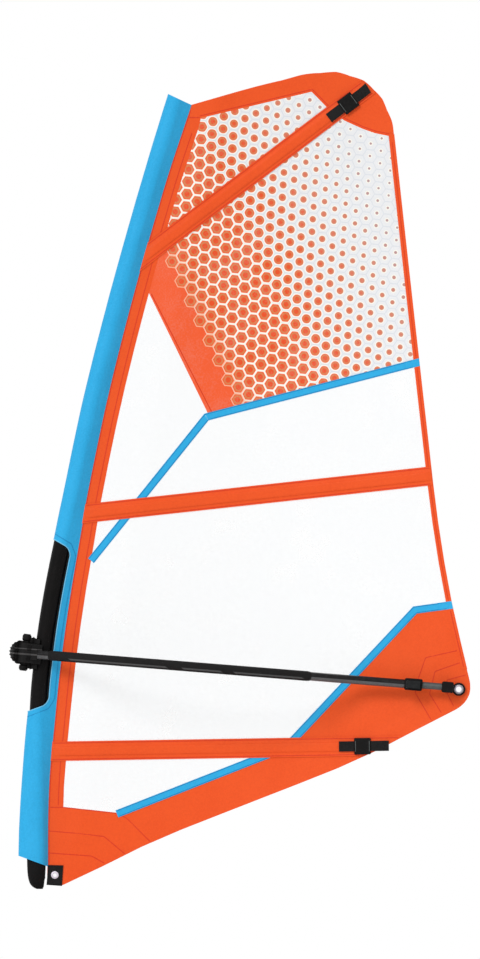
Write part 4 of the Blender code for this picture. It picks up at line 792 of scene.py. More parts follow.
def teardrop(radius, tip, share):
    """A point on half of a sleeve's section, from the seam (0) round to the front (1)."""
    meets, flank, arc = drop_parts(radius, tip)
    place = share * (flank + arc)
    if place < flank:
        part = place / flank
        along = tip + (radius * math.cos(meets) - tip) * part
        return along, SLEEVE_TIP + (radius * math.sin(meets) - SLEEVE_TIP) * part
    angle = meets + (place - flank) / radius
    return radius * math.cos(angle), radius * math.sin(angle)


def section_at(height, reach=SLEEVE_RADIUS, radius=SLEEVE_RADIUS):
    """A section square to the mast, through the seam at a height: front, centre, aft and radius."""
    aft = Vector((seam_at(height) + SEAM_COVER, height))
    level = height
    for _ in range(4):
        slope = (mast_x(level + SLOPE_STEP) - mast_x(level - SLOPE_STEP)) / (2 * SLOPE_STEP)
        level = height + (aft.x - mast_x(level)) * slope
    centre = Vector((mast_x(level), level))
    ahead = (centre - aft).normalized()
    return centre + ahead * reach, centre, aft, radius


def slanted_section(front_height, aft_height, reach=SLEEVE_RADIUS, radius=SLEEVE_RADIUS):
    aft = Vector((seam_at(aft_height) + SEAM_COVER, aft_height))
    front = Vector((mast_x(front_height) - reach, front_height))
    share = (mast_x((front_height + aft_height) / 2) - front.x) / (aft.x - front.x)
    return front, front.lerp(aft, share), aft, radius


def between_sections(first, second, share):
    places = [a.lerp(b, share) for a, b in zip(first[:3], second[:3])]
    return (*places, first[3] + (second[3] - first[3]) * share)


def section_point(section, side, share, proud=0.0):
    front, centre, aft, radius = section
    along, across = teardrop(radius, (aft - centre).length, share)
    if along > 0:
        place = centre + (aft - centre).normalized() * along
    else:
        stretch = (front - centre).length / radius
        place = centre + (front - centre).normalized() * (-along * stretch)
    out = Vector((place.x - centre.x, side * across, place.y - centre.y))
    grow = 1 + proud / max(out.length, 0.001)
    return Vector((centre.x + out.x * grow, out.y * grow, centre.y + out.z * grow))


print(f"the sleeve is {SLEEVE_RADIUS * 2000:.1f} mm wide from side to side")

# %% [markdown]
# The sleeve could be sliced and shaped like the panels, but its solid has flat facets round the mast. It
# is wrapped instead: a flat grid is added, one way of the grid goes round the mast and the other way
# goes up it, and every point is put in its place on a section. The cloth gets its thickness from
# Solidify, which is then applied.

# %% Wrap a grid round the mast
FOLD, RIPPLE, LOOSE = 0.00045, 0.00022, 0.0001


def started(add, name, **settings):
    """A new piece from one of Blender's own primitives."""
    bpy.ops.object.select_all(action="DESELECT")
    add(**settings)
    piece = bpy.context.active_object
    piece.name = piece.data.name = name
    return piece


def grid_piece(name, across, along, place):
    """A grid whose points are put in place by a function of their two counts."""
    counts = {"x_subdivisions": across, "y_subdivisions": along}
    piece = started(bpy.ops.mesh.primitive_grid_add, name, size=2.0, **counts)
    for vert in piece.data.vertices:
        i = round((vert.co.x + 1) / 2 * across)
        j = round((vert.co.y + 1) / 2 * along)
        vert.co = place(i, j)
    piece.data.update()
    return piece


def finer(sections, count):
    made = []
    for first, second in zip(sections, sections[1:]):
        made += [between_sections(first, second, k / count) for k in range(count)]
    return made + [sections[-1]]


def sleeve_wrinkle(height, share, side):
    """The cloth is a little loose: soft folds that run up the sleeve, never inside its own line."""
    fold = noise.noise(Vector((share * 5.0 + side * 3.1, height * 6.0, 5.5)))
    ripple = noise.noise(Vector((share * 11.0, height * 24.0, side * 2.0 + 1.5)))
    return max(0.0, FOLD * fold + RIPPLE * ripple + LOOSE) * eased(share, 0.05, 0.25)


def thick(piece, wall, offset=-1.0):
    return changed(piece, "SOLIDIFY", thickness=wall, offset=offset, use_even_offset=True)


def outward(piece, way, face=0):
    """Turns the faces of a piece where one of them looks away from a direction."""
    if piece.data.polygons[face].normal.dot(Vector(way)) < 0:
        piece.data.flip_normals()
    return piece


def wrapped_sleeve(name, node, sections, around=26):
    def place(i, j):
        side = -1 if i < around else 1
        share = 1 - abs(i - around) / around
        section = sections[j]
        proud = sleeve_wrinkle(section[1].y, share, side)
        return section_point(section, side, share, proud)

    piece = grid_piece(name, 2 * around, len(sections) - 1, place)
    with editing(piece):
        bpy.ops.mesh.normals_make_consistent(inside=False)
    middle = len(piece.data.polygons) // 2
    centre = sections[len(sections) // 2][1]
    outward(piece, piece.data.polygons[middle].center - Vector((centre.x, 0.0, centre.y)), middle)
    return dressed(smooth_shaded(thick(piece, SLEEVE_THICKNESS), 50), BLUE_SLEEVE, "blue_cloth", ROOT, node)


LOWER_REACH = smooth([(0.066, 0.0358), (0.140, 0.0330), (0.218, 0.0288), (0.298, 0.0244), (0.355, 0.0206)])
LOWER_HALF = smooth([(0.066, 0.0210), (0.140, 0.0206), (0.218, 0.0200), (0.298, 0.0194), (0.355, 0.0190)])
MOUTH_FRONT, MOUTH_AFT = 0.0664, 0.0450
CUT_LOW_FRONT, CUT_LOW_AFT = 0.355, 0.376
CUT_HIGH_FRONT, CUT_HIGH_AFT = 0.700, 0.672
HEAD_RISE = 0.022
END_CLEAR = 0.030


def levels(low, high, step=0.020):
    count = max(1, round((high - low) / step))
    return [low + (high - low) * k / count for k in range(count + 1)]


mouth = slanted_section(MOUTH_FRONT, MOUTH_AFT, LOWER_REACH(MOUTH_FRONT), LOWER_HALF(MOUTH_AFT))
cut_low = slanted_section(CUT_LOW_FRONT, CUT_LOW_AFT, LOWER_REACH(CUT_LOW_FRONT))
cut_high = slanted_section(CUT_HIGH_FRONT, CUT_HIGH_AFT)
head_end = slanted_section(LUFF_TOP + HEAD_RISE, LUFF_TOP)
low_levels = levels(MOUTH_AFT + END_CLEAR, CUT_LOW_FRONT - END_CLEAR)
high_levels = levels(CUT_HIGH_FRONT + END_CLEAR, LUFF_TOP - END_CLEAR)
lower = [mouth, *(section_at(z, LOWER_REACH(z), LOWER_HALF(z)) for z in low_levels), cut_low]
upper = [cut_high, *(section_at(z) for z in high_levels), head_end]
SLEEVE_LOW = wrapped_sleeve("luff_sleeve_lower_cloth", "luff_sleeve_lower", finer(lower, 2))
SLEEVE_HIGH = wrapped_sleeve("luff_sleeve_upper_cloth", "luff_sleeve_upper", finer(upper, 2))
print(f"sleeves: {len(SLEEVE_LOW.data.polygons)} and {len(SLEEVE_HIGH.data.polygons)} faces")

# %% [markdown]
# Behind the cutout the sleeve goes on as two narrow flanks that meet at the seam. They are more of the
# same wrapped grid, but it stops at a set-back behind the mast, and near both ends the set-back eases
# out along a quarter circle, which makes the corners of the opening round. Inside each flank lies a black
# rub strip of webbing. It could be left out, as it hardly shows, but its black is painted shade: it
# makes the opening dark right up to its edge. It also spares the cloth from the boom head.

# %% The flanks behind the cutout and the rub strips, whose black is painted shade
FLANK_SET_BACK = 0.0209
CORNER_RADIUS, CORNER_REACH, CORNER_ROOM = 0.015, 0.011, 0.010
RUB_SHADE_FRONT, RUB_SHADE_BACK, RUB_SHADE_INSIDE, RUB_SHADE_THICKNESS = 0.0171, 0.0235, 0.0007, 0.0005
RUB_SHADE_LAP = 0.002
BAND_CLEAR = 0.0215
BOOM_TRAVEL = (0.400, 0.420, 0.516, 0.536)


def share_at(section, set_back):
    """How far round a section a point lies that is this far behind the middle of the mast."""
    _, centre, aft, radius = section
    tip = (aft - centre).length
    meets, flank, arc = drop_parts(radius, tip)
    tangent = radius * math.cos(meets)
    if set_back > tangent:
        return (tip - set_back) / (tip - tangent) * flank / (flank + arc)
    return (flank + (math.acos(set_back / radius) - meets) * radius) / (flank + arc)


def behind_mast(section, set_back):
    _, centre, aft, _ = section
    return centre + (aft - centre).normalized() * set_back


low_square, high_square = section_at(CUT_LOW_AFT + CORNER_ROOM), section_at(CUT_HIGH_AFT - CORNER_ROOM)
strip_levels = levels(CUT_LOW_AFT + CORNER_ROOM, CUT_HIGH_AFT - CORNER_ROOM, 0.012)
strip_sections = [between_sections(cut_low, low_square, k / 10) for k in range(10)]
strip_sections += [section_at(z) for z in strip_levels]
strip_sections += [between_sections(high_square, cut_high, k / 10) for k in range(1, 11)]


def edge_share(section):
    """The bound edge on a section, as a share of the way round it."""
    here = behind_mast(section, FLANK_SET_BACK)
    past = min((here - behind_mast(end, FLANK_SET_BACK)).length for end in (cut_low, cut_high))
    left = max(0.0, 1 - past / CORNER_RADIUS)
    return share_at(section, FLANK_SET_BACK - CORNER_REACH * (1 - math.sqrt(1 - left * left)))


def webbed(name, side, columns, place, wall):
    """A strip of cloth on one side of the mast, laid along the strip's sections."""
    piece = grid_piece(name, columns, len(strip_sections) - 1, place)
    return smooth_shaded(thick(outward(piece, (0, side, 0)), wall), 50)


def flank_grid(name, side):
    def place(i, j):
        section = strip_sections[j]
        return section_point(section, side, edge_share(section) * (1 - i / 6))

    return webbed(name, side, 6, place, SLEEVE_THICKNESS)


def joined(name, pieces):
    only(pieces[0])
    for piece in pieces[1:]:
        piece.select_set(True)
    bpy.ops.object.join()
    whole = bpy.context.active_object
    whole.name = whole.data.name = name
    return whole


flanks = joined("sleeve_flanks", [flank_grid(label + "_flank", side) for side, label in SIDES])
dressed(flanks, BLUE_SLEEVE, "blue_cloth", ROOT, "sleeve_cutout_strip")


def rub_strip_painted_shade(name, side):
    """A black strip inside one flank, as painted shade; it keeps clear of the boom head's band."""

    def place(i, j):
        section = strip_sections[j]
        height = section[1].y
        back = RUB_SHADE_FRONT + (RUB_SHADE_BACK - RUB_SHADE_FRONT) * i / 3
        inner = section_point(section, side, share_at(section, RUB_SHADE_BACK), -SLEEVE_THICKNESS)
        outer = section_point(section, side, share_at(section, RUB_SHADE_BACK - RUB_SHADE_LAP), -SLEEVE_THICKNESS)
        run = (RUB_SHADE_BACK - back) / RUB_SHADE_LAP
        here = inner + (outer - inner) * run
        at_boom = eased(height, *BOOM_TRAVEL[:2]) - eased(height, *BOOM_TRAVEL[2:])
        across = abs(here.y) - RUB_SHADE_INSIDE
        clear = math.sqrt(max(BAND_CLEAR**2 - back**2, 0.0))
        across += at_boom * max(clear - across, 0.0)
        return Vector((here.x, side * across, here.z))

    return webbed(name, side, 3, place, RUB_SHADE_THICKNESS)


rub_strips_painted_shade = joined("cutout_rub_strips", [rub_strip_painted_shade(label + "_rub_strip", side) for side, label in SIDES])
# The strips' black webbing stands in for the shade inside the opening.
dressed(rub_strips_painted_shade, WEBBING, "black_webbing", ROOT)
print(f"flanks {len(flanks.data.polygons)} faces, rub strips {len(rub_strips_painted_shade.data.polygons)}")

# %% [markdown]
# The opening is bound all round with a narrow tape that is folded over the cut edge. Its paler blue is
# a painted highlight along the edge. A bevelled curve would do, but at the front of the mast the tape
# turns a sharp corner from one side to the other. A grid that is wrapped round a line keeps its rings
# even there: each ring takes over the turn of the ring before it, so that the tube never twists.

# %% The bound edge of the cutout
BINDING_RADIUS = 0.0011
EDGE_TURN, CORNER_LEAD = 14, 0.006


def wrapped_up(piece, close_rims=None):
    """Welds the seam of a wrapped grid, closes its open ends if told how, and turns its faces out."""
    with editing(piece):
        bpy.ops.mesh.remove_doubles(threshold=WELD)
        if close_rims:
            bpy.ops.mesh.select_all(action="SELECT")
            bpy.ops.mesh.region_to_loop()
            close_rims()
            bpy.ops.mesh.select_all(action="SELECT")
            bpy.ops.mesh.fill_holes(sides=0)
        bpy.ops.mesh.select_all(action="SELECT")
        bpy.ops.mesh.normals_make_consistent(inside=False)


def filled():
    bpy.ops.mesh.fill_holes(sides=0)


def tube_piece(name, line, radius, sides=24, wall=None, swell=None):
    """A round tube along a line of points, closed at its ends or with a wall."""
    points = [Vector(point) for point in line]
    frames = []
    side_way = None
    for i, point in enumerate(points):
        ahead = ahead_at(points, i)
        if side_way is None:
            other = Vector((0.0, 1.0, 0.001)) if abs(ahead.y) < 0.9 else Vector((1.0, 0.0, 0.0))
            side_way = ahead.cross(other)
        side_way = (side_way - ahead * side_way.dot(ahead)).normalized()
        frames.append((point, side_way, ahead.cross(side_way).normalized()))

    def place(i, j):
        point, first, second = frames[j]
        angle = 2 * math.pi * i / sides
        reach = radius * (swell(i / sides, j) if swell else 1.0)
        return point + first * (reach * math.cos(angle)) + second * (reach * math.sin(angle))

    piece = grid_piece(name, sides, len(points) - 1, place)
    wrapped_up(piece, None if wall else filled)
    if wall:
        centre = piece.data.polygons[0].center
        nearest = min(points, key=lambda point: (point - centre).length)
        thick(outward(piece, centre - nearest), wall)
    return smooth_shaded(piece, 40)


def cutout_edge(side, outside=0.0, proud=-SLEEVE_THICKNESS / 2):
    """The edge of the opening on one side, from the front below to the front above."""
    low, high, corners = cut_low, cut_high, (edge_share(cut_low), edge_share(cut_high))
    up = [section_point(section, side, edge_share(section), proud) for section in strip_sections]
    if outside:
        reach, set_back = LOWER_REACH(CUT_LOW_FRONT), FLANK_SET_BACK + outside
        low = slanted_section(CUT_LOW_FRONT - outside, CUT_LOW_AFT - outside, reach)
        high = slanted_section(CUT_HIGH_FRONT + outside, CUT_HIGH_AFT + outside)
        corners = (share_at(low, set_back - CORNER_LEAD),) * 2
        up = [section_point(s, side, share_at(s, set_back), proud) for s in strip_sections[::2]][2:-2]
    edge = [section_point(low, side, 1 + (corners[0] - 1) * k / EDGE_TURN, proud) for k in range(EDGE_TURN)]
    edge += up
    for k in range(1, EDGE_TURN + 1):
        edge.append(section_point(high, side, corners[1] + (1 - corners[1]) * k / EDGE_TURN, proud))
    return rounded_off(edge, 3) if outside else edge


def rounded_off(points, times):
    """A line whose corners are cut again and again, which rounds them."""
    for _ in range(times):
        made = [points[0]]
        for a, b in zip(points, points[1:]):
            made += [a.lerp(b, 0.25), a.lerp(b, 0.75)]
        points = made + [points[-1]]
    return points


for side, label in SIDES:
    binding = tube_piece(label + "_edge_binding", cutout_edge(side), BINDING_RADIUS, 10)
    dressed(binding, BLUE_EDGE_PAINTED_HIGHLIGHT, "blue_cloth", ROOT, label + "_cutout_binding")
print(f"bound edge {len(binding.data.polygons)} faces a side")

# %% [markdown]
# Each batten pocket is a long strip of orange cloth with flat sewn edges and a soft raised channel over
# the batten. A sliced copy of the solid would keep the hard steps of its channel, which look crumpled
# once they are cut into squares. A grid is laid along the pocket instead, its ends are taken from the
# solid, and the channel rises and falls as one smooth crown.

# %% Batten pockets
POCKET_LINES = {
    "upper": (Vector((0.2796, LUFF_TOP - 0.250)), Vector((0.5436, LUFF_TOP - 0.050))),
    "middle": (Vector((0.1306, 0.7552)), Vector((0.7806, 0.826))),
    "lower": (Vector((0.0556, 0.2758)), Vector((0.6906, 0.286))),
}
POCKET_WIDTHS = {"upper": 0.0368, "middle": 0.0380, "lower": 0.0390}
POCKET_CLOTH, POCKET_STEP, LEVEL_ROOM = 0.0005, 0.008, 0.0004
POCKET_FACE, CROWN_FACE = 0.00185, 0.00395
CROWN_FLAT, CROWN_FOOT = 0.0078, 0.0104
CROWN_STARTS, CROWN_ENDS = (0.004, 0.020), (0.001, 0.0095)
CROWN_UNEVEN, LOWEST_SOFT = 0.00012, -0.00008
POCKET_STOPS = [0.0, 0.0045, 0.0078, 0.0085, 0.0091, 0.0097, 0.0104, 0.0135]


def sail_place(x, z, offset=0.0):
    """A point of the sail; a positive offset is towards starboard."""
    return Vector((x, belly_straight(chord_place(x, z)) + sail_shift(x, z) + offset, z))


def strip_ends(node, line):
    """Where the solid of a pocket starts and ends, at both edges and on its middle line."""
    along, across = ways_of(*line)
    places = [Vector((vert.co.x, vert.co.z)) - line[0] for vert in NODES[node].data.vertices]
    places = [(place.dot(along), place.dot(across)) for place in places]
    half = max(v for _, v in places)
    ends = []
    for level in (-half, 0.0, half):
        row = [u for u, v in places if abs(v - level) < LEVEL_ROOM]
        ends.append((level, min(row), max(row)))
    return along, across, ends


def end_at(ends, v, which):
    (low, *low_ends), (middle, *middle_ends), (high, *high_ends) = ends
    if v < middle:
        share = (v - low) / (middle - low)
        return low_ends[which] + share * (middle_ends[which] - low_ends[which])
    share = (v - middle) / (high - middle)
    return middle_ends[which] + share * (high_ends[which] - middle_ends[which])


def crown_height(v, from_start, to_end, place):
    rise = 1 - eased(abs(v), CROWN_FLAT, CROWN_FOOT)
    rise *= eased(from_start, *CROWN_STARTS) * eased(to_end, *CROWN_ENDS)
    soft = CROWN_UNEVEN * noise.noise(Vector((place.x * 45.0, place.y * 45.0, 1.7)))
    return POCKET_FACE + (CROWN_FACE - POCKET_FACE) * rise + max(soft, LOWEST_SOFT)


def pocket_strip(name):
    line, half = POCKET_LINES[name], POCKET_WIDTHS[name] / 2
    along, across, ends = strip_ends(name + "_batten_pocket", line)
    stops = sorted({-v for v in POCKET_STOPS} | set(POCKET_STOPS) | {-half, half})
    count = round((ends[1][2] - ends[1][1]) / POCKET_STEP)

    def place(i, j):
        v = stops[i]
        start, end = end_at(ends, v, 0), end_at(ends, v, 1)
        u = start + (end - start) * j / count
        at = line[0] + along * u + across * v
        return sail_place(at.x, at.y, -crown_height(v, u - start, end - u, at))

    strip = outward(grid_piece(name + "_pocket_strip", len(stops) - 1, count, place), (0, -1, 0))
    smooth_shaded(thick(strip, POCKET_CLOTH), 60)
    return dressed(strip, ORANGE_CLOTH, "orange_cloth", ROOT, name + "_batten_pocket")


POCKETS = {name: pocket_strip(name) for name in POCKET_LINES}
print({name: len(piece.data.polygons) for name, piece in POCKETS.items()})

# %% [markdown]
# The boom is a pair of bowed aluminium tubes. Their solids have twelve flat sides, which shows at the
# edges, so each is replaced by a tube of the same radius along the same bow with more sides. The fore
# part of each arm carries a thin foam grip. Tube and grip follow one line and are made by the same
# wrapping of a grid, and they differ only in radius and wall.

# %% The boom's line
BOOM_HEIGHT = 0.468
CLEW_LINE_RISE = 0.0024
BOOM_AT = Vector((mast_x(BOOM_HEIGHT), 0.0, BOOM_HEIGHT))
BOOM_DROP = math.atan2(BOOM_HEIGHT - CLEW.y - CLEW_LINE_RISE, CLEW.x - BOOM_AT.x)
BOOM_FRAME = Matrix.Translation(BOOM_AT) @ Matrix.Rotation(BOOM_DROP, 4, "Y")
MAST_SHIFT = mast_x(BOOM_HEIGHT + SLOPE_STEP) - mast_x(BOOM_HEIGHT - SLOPE_STEP)
HEAD_FRAME = Matrix.Translation(BOOM_AT) @ Matrix.Rotation(math.atan2(MAST_SHIFT, 2 * SLOPE_STEP), 4, "Y")
ARM_RADIUS, ARM_WALL = 0.0087, 0.0014
ARM_START, ARM_END = -0.0117, 0.757
SPREAD_AT_HEAD, SPREAD_AT_TAIL = 0.033, 0.024
ARM_BOW = [
    (0.045, 0.055), (0.115, 0.098), (0.220, 0.131), (0.345, 0.140), (0.455, 0.119), (0.545, 0.073),
    (0.610, 0.034),
]
STRAIGHT_AT_HEAD, STRAIGHT_FROM = 0.016, 0.655
GRIP_STARTS, GRIP_ENDS = 0.014, 0.534
GRIP_THICKNESS, GRIP_GAP, SWELL_STEP = 0.0009, 0.0003, 0.005


def rounded_line(points, steps):
    """A Catmull-Rom line through the points."""
    line = []
    for i in range(len(points) - 1):
        a, b, c, d = (points[min(max(i + k, 0), len(points) - 1)] for k in (-1, 0, 1, 2))
        for step in range(steps):
            t = step / steps
            bend = (2 * a - 5 * b + 4 * c - d) * t**2 + (3 * b - a - 3 * c + d) * t**3
            line.append((2 * b + (c - a) * t + bend) / 2)
    return line + [points[-1]]


def arm_line(side, steps=8):
    start = Vector((ARM_START, side * SPREAD_AT_HEAD, 0))
    bend = start + Vector((STRAIGHT_AT_HEAD, 0, 0))
    bow = [bend] + [Vector((u, side * v, 0)) for u, v in ARM_BOW]
    bow.append(Vector((STRAIGHT_FROM, side * SPREAD_AT_TAIL, 0)))
    return [start] + rounded_line(bow, steps) + [Vector((ARM_END, side * SPREAD_AT_TAIL, 0))]


def between(line, low, high):
    kept = []
    for a, b in zip(line, line[1:]):
        for stop in (low, high):
            if a.x < stop < b.x:
                kept.append(a.lerp(b, (stop - a.x) / (b.x - a.x)))
        if low < b.x < high:
            kept.append(b.copy())
    return sorted(kept, key=lambda point: point.x)


def evenly(line, step):
    """The same line with points a fixed distance apart."""
    made, left = [line[0]], step
    for a, b in zip(line, line[1:]):
        length = (b - a).length
        done = 0.0
        while length - done > left:
            done += left
            made.append(a.lerp(b, done / length))
            left = step
        left -= length - done
    return made + [line[-1]]


def placed(line, frame_matrix):
    return [frame_matrix @ point for point in line]


print(f"boom line drops {math.degrees(BOOM_DROP):.1f} degrees from the mast to the clew")

# %% [markdown]
# The tubes are black, and their lower half is painted grey, which is painted light reflected from below.
# The grips have a thin grey stripe low on their sides with slanted ends. The stripe could be cut as a
# separate strip of foam, but on the real grip it is a coloured layer of the same foam, so both are worked
# out in the material. The boom head has two lighter lines, painted highlights, that are made in the same
# way. What matters for all of them is the height above the line of the boom, and the distance along it.

# %% Tube with painted underside light, striped grip and plastic with painted highlights
STRIPE_LOW, STRIPE_HIGH = -0.0064, -0.0032
STRIPES = ((0.045, 0.240), (0.272, 0.350), (0.376, 0.514))
STRIPE_SLANT = 1.7


def boom_places(look):
    """How far aft along the boom's line and how high above it a point lies."""
    past = look.vector("SUBTRACT", look.place(), tuple(BOOM_AT))
    along = look.vector("DOT_PRODUCT", past, (math.cos(BOOM_DROP), 0.0, -math.sin(BOOM_DROP)))
    height = look.vector("DOT_PRODUCT", past, (math.sin(BOOM_DROP), 0.0, math.cos(BOOM_DROP)))
    return along, height


def band_mask(look, value, low, high, soft):
    risen = look.ramp(value, low - soft, low + soft)
    return look.times(risen, look.ramp(value, high - soft, high + soft, 1.0, 0.0))


def tube_painted_underlight():
    look = Finish("black_tube_painted_underlight", Metallic=0.55, Specular_IOR_Level=0.2)
    _, height = boom_places(look)
    grain = look.shared("moulded_grain", Scale=300.0)
    marks = look.shared("handling_marks", Size=60.0)
    # The lower half is painted grey: painted light reflected from below onto the black tube.
    colour = look.mix(look.ramp(height, -0.0016, -0.0006, 1.0, 0.0), seen(28, 27, 28), seen(98, 98, 99))
    colour = look.mix(look.times(marks, 0.3), colour, seen(60, 60, 61))
    dull = look.scaled(grain.outputs["Patches"], 0.1, 0.34)
    return look.surface(colour, look.scaled(marks, 0.12, dull), grain, 0.05)


def striped_foam():
    look = Finish("striped_grip_foam", Specular_IOR_Level=0.12)
    along, height = boom_places(look)
    slanted = look.scaled(height, STRIPE_SLANT, along)
    lengths = [band_mask(look, slanted, low, high, 0.0008) for low, high in STRIPES]
    length = look.math("ADD", look.math("ADD", *lengths[:2]), lengths[2])
    stripe = look.times(band_mask(look, height, STRIPE_LOW, STRIPE_HIGH, 0.0003), length)
    grain = look.shared("moulded_grain", Scale=1900.0)
    marks = look.shared("handling_marks", Size=55.0)
    cells = look.times(grain, 0.5)
    black = look.mix(cells, seen(22, 21, 21), seen(44, 43, 43))
    grey = look.mix(cells, seen(72, 72, 72), seen(92, 91, 91))
    return look.surface(look.mix(stripe, black, grey), look.scaled(marks, 0.14, 0.74), grain, 0.45, 0.0004)


def plastic_painted_highlights():
    """The block's plastic with two lighter lines along its sides, which are painted highlights."""
    look = Finish("head_plastic_painted_highlights", Specular_IOR_Level=0.13)
    _, height = boom_places(look)
    # Two lighter grey lines along the block's sides are painted highlights.
    upper_highlight = band_mask(look, height, 0.0088, 0.0108, 0.0004)
    highlight_lines = look.math("ADD", upper_highlight, band_mask(look, height, -0.0026, 0.0006, 0.0005))
    grain = look.shared("moulded_grain", Scale=1200.0)
    marks = look.shared("handling_marks", Size=40.0)
    colour = look.mix(highlight_lines, look.mix(look.times(marks, 0.6), BLACK, WORN_BLACK), seen(72, 70, 70))
    return look.surface(colour, look.scaled(marks, 0.15, 0.42), grain, 0.25)


TUBE_PAINTED_UNDERLIGHT = tube_painted_underlight()
GRIP_FOAM = striped_foam()
HEAD_PLASTIC_PAINTED_HIGHLIGHTS = plastic_painted_highlights()
print("stripes along the boom, in metres:", STRIPES)

# %% [markdown]
# Each arm is a tube with a wall. A grip is a thin tube of foam that is pulled over it. It could be a
# second finish on the arm, but the step at its ends shows. It is rounded off at both ends and never
# quite even, so its radius swells and shrinks a little on the way.

# %% Arms and grips
for side, label in SIDES:
    arm = tube_piece(label + "_arm_tube", placed(arm_line(side), BOOM_FRAME), ARM_RADIUS, 32, ARM_WALL)
    dressed(arm, TUBE_PAINTED_UNDERLIGHT, "black_anodised", BOOM, label + "_arm")

for side, label in SIDES:
    line = evenly(between(arm_line(side, 12), GRIP_STARTS, GRIP_ENDS), SWELL_STEP)
    last = len(line) - 1

    def swell(turn, j):
        ends = min(j, last - j) * SWELL_STEP
        rounded = 1 - 0.05 * (1 - eased(ends, 0.0, 0.006))
        return rounded + 0.010 * noise.noise(Vector((turn * 4.0, j * 0.35, side * 2.0)))

    radius, foam = ARM_RADIUS + GRIP_GAP + GRIP_THICKNESS, GRIP_THICKNESS * 0.9
    grip = tube_piece(label + "_grip_foam", placed(line, BOOM_FRAME), radius, 32, foam, swell)
    dressed(grip, GRIP_FOAM, "black_foam", BOOM, label + "_grip")
print(f"arms {len(arm.data.polygons)} and grips {len(grip.data.polygons)} faces each")

# %% [markdown]
# The hard fittings have flat faces and sharp corners as solids. Moulded plastic never has a sharp
# corner, and its edges are what catches the light, so each fitting is replaced by a copy whose flat
# faces are joined again and whose edges are rounded with a Bevel modifier. Weighted normals keep the
# large faces flat next to the small round ones.

# %% Round the edges of the moulded fittings
def merged_faces(piece, degrees):
    with editing(piece):
        bpy.ops.mesh.dissolve_limited(angle_limit=math.radians(degrees))


def softened(node, material, body, width):
    piece = copy_of(node, node + "_moulding")
    merged_faces(piece, 2)
    limit = {"limit_method": "ANGLE", "angle_limit": math.radians(28), "use_clamp_overlap": True}
    changed(piece, "BEVEL", width=width, segments=3, **limit)
    return dressed(weighted(piece, 50), material, "black_plastic", body, node)


LEVER_PLASTIC = moulded("lever_plastic", seen(28, 30, 31), seen(44, 45, 46), 0.40, 1200.0, 0.25)
FITTINGS = {}
for _, side in SIDES:
    for label, material, body, width in (
        ("_clamp_collar", PLASTIC, BOOM, 0.0012),
        ("_clamp_lever", LEVER_PLASTIC, side + "_lever", 0.0007),
        ("_end_fitting", PLASTIC, side + "_tail", 0.0010),
    ):
        node = side + label
        FITTINGS[node] = softened(node, material, body, width)
print({name: len(piece.data.polygons) for name, piece in FITTINGS.items()})

# %% [markdown]
# The boom head grips the mast. From the side it shows a round ribbed nose, which is the cam lever, two
# knobs on the hinge pin, and a tall clamp shell that lies round the front of the mast. The ribs could
# be part of a bump map, but they break up the outline of the nose, so they are real bars. One small
# rounded bar is made by a helper, and every fin, web and buckle bar is one of these.

# %% The boom head
HEAD_PIN_AHEAD = 0.036
NOSE_REACH, NOSE_CROWN = 0.0306, 0.0225
NOSE_DRAWN_FROM, NOSE_END, NOSE_DRAWN_IN = 0.0212, 0.033, 0.073
RIB_RADIUS, RIB_SPREAD, RIB_TURN = 0.0017, math.radians(43), 17
SHELL_INNER, SHELL_OUTER = 0.0212, 0.0236
SHELL_LOW, SHELL_HIGH, SHELL_HALF_TURN = 0.0196, 0.0330, math.radians(66)
ARM_INNER, ARM_SNUG = (0.0199, 0.0214), 0.0195
KNOB_FOOT, KNOB_SEAT = (0.0231, 0.0246), 0.0006


def head_place(along, across, up):
    return HEAD_FRAME @ Vector((along, across, up))


def bar_piece(name, centre, size, edge, frame_matrix=HEAD_FRAME):
    """A small block with rounded edges, in the head's own directions."""
    piece = started(bpy.ops.mesh.primitive_cube_add, name, size=1.0)
    with editing(piece):
        bpy.ops.transform.resize(value=size)
        bpy.ops.mesh.bevel(offset=edge, segments=2, affect="EDGES")
    piece.data.transform(frame_matrix @ Matrix.Translation(centre))
    return smooth_shaded(piece, 50)


def nose_rib(name, turn):
    """A round rib that follows the nose from one side to the other, at a turn up from its front."""
    up = NOSE_CROWN * math.sin(turn)
    crown = NOSE_REACH - NOSE_CROWN + NOSE_CROWN * math.cos(turn)
    half = min(NOSE_REACH * math.sin(RIB_SPREAD), crown * 0.97)
    line = []
    for k in range(13):
        across = half * (k / 6 - 1)
        ahead = min(crown, math.sqrt(NOSE_REACH**2 - across**2))
        line.append(head_place(-HEAD_PIN_AHEAD - ahead, across, up))
    return tube_piece(name, line, RIB_RADIUS, 8)


lever = copy_of("head_cam_lever", "head_lever_moulding")
merged_faces(lever, 1)
HEAD_PIN = Vector((-HEAD_PIN_AHEAD, 0.0, 0.0))
INTO_HEAD = HEAD_FRAME.inverted()
for vert in lever.data.vertices:
    place = INTO_HEAD @ vert.co - HEAD_PIN
    if ARM_INNER[0] < abs(place.z) < ARM_INNER[1]:
        place.z = math.copysign(ARM_SNUG, place.z)
    reach = math.hypot(place.x, place.y)
    if reach > NOSE_DRAWN_FROM:
        share = 1 - NOSE_DRAWN_IN * eased(reach, NOSE_DRAWN_FROM, NOSE_END)
        place.x, place.y = place.x * share, place.y * share
    vert.co = HEAD_FRAME @ (place + HEAD_PIN)
lever.data.update()
dressed(weighted(lever, 30), HEAD_PLASTIC_PAINTED_HIGHLIGHTS, "black_plastic", "head_lever", "head_cam_lever")
ribs = joined("head_lever_ribs", [nose_rib(f"rib_{k}", math.radians(RIB_TURN * k)) for k in range(-4, 5)])
dressed(ribs, PLASTIC, "black_plastic", "head_lever")
print(f"nose with 9 ribs, {len(ribs.data.polygons)} faces")

# %% [markdown]
# The clamp shell is an arc of plastic above and below the block, with a web in the middle that runs
# forward to the hinge pin. The sides of the block carry upright fins. They could be cut out of the
# block itself, but bars that are set against it look the same and leave its round edges whole.

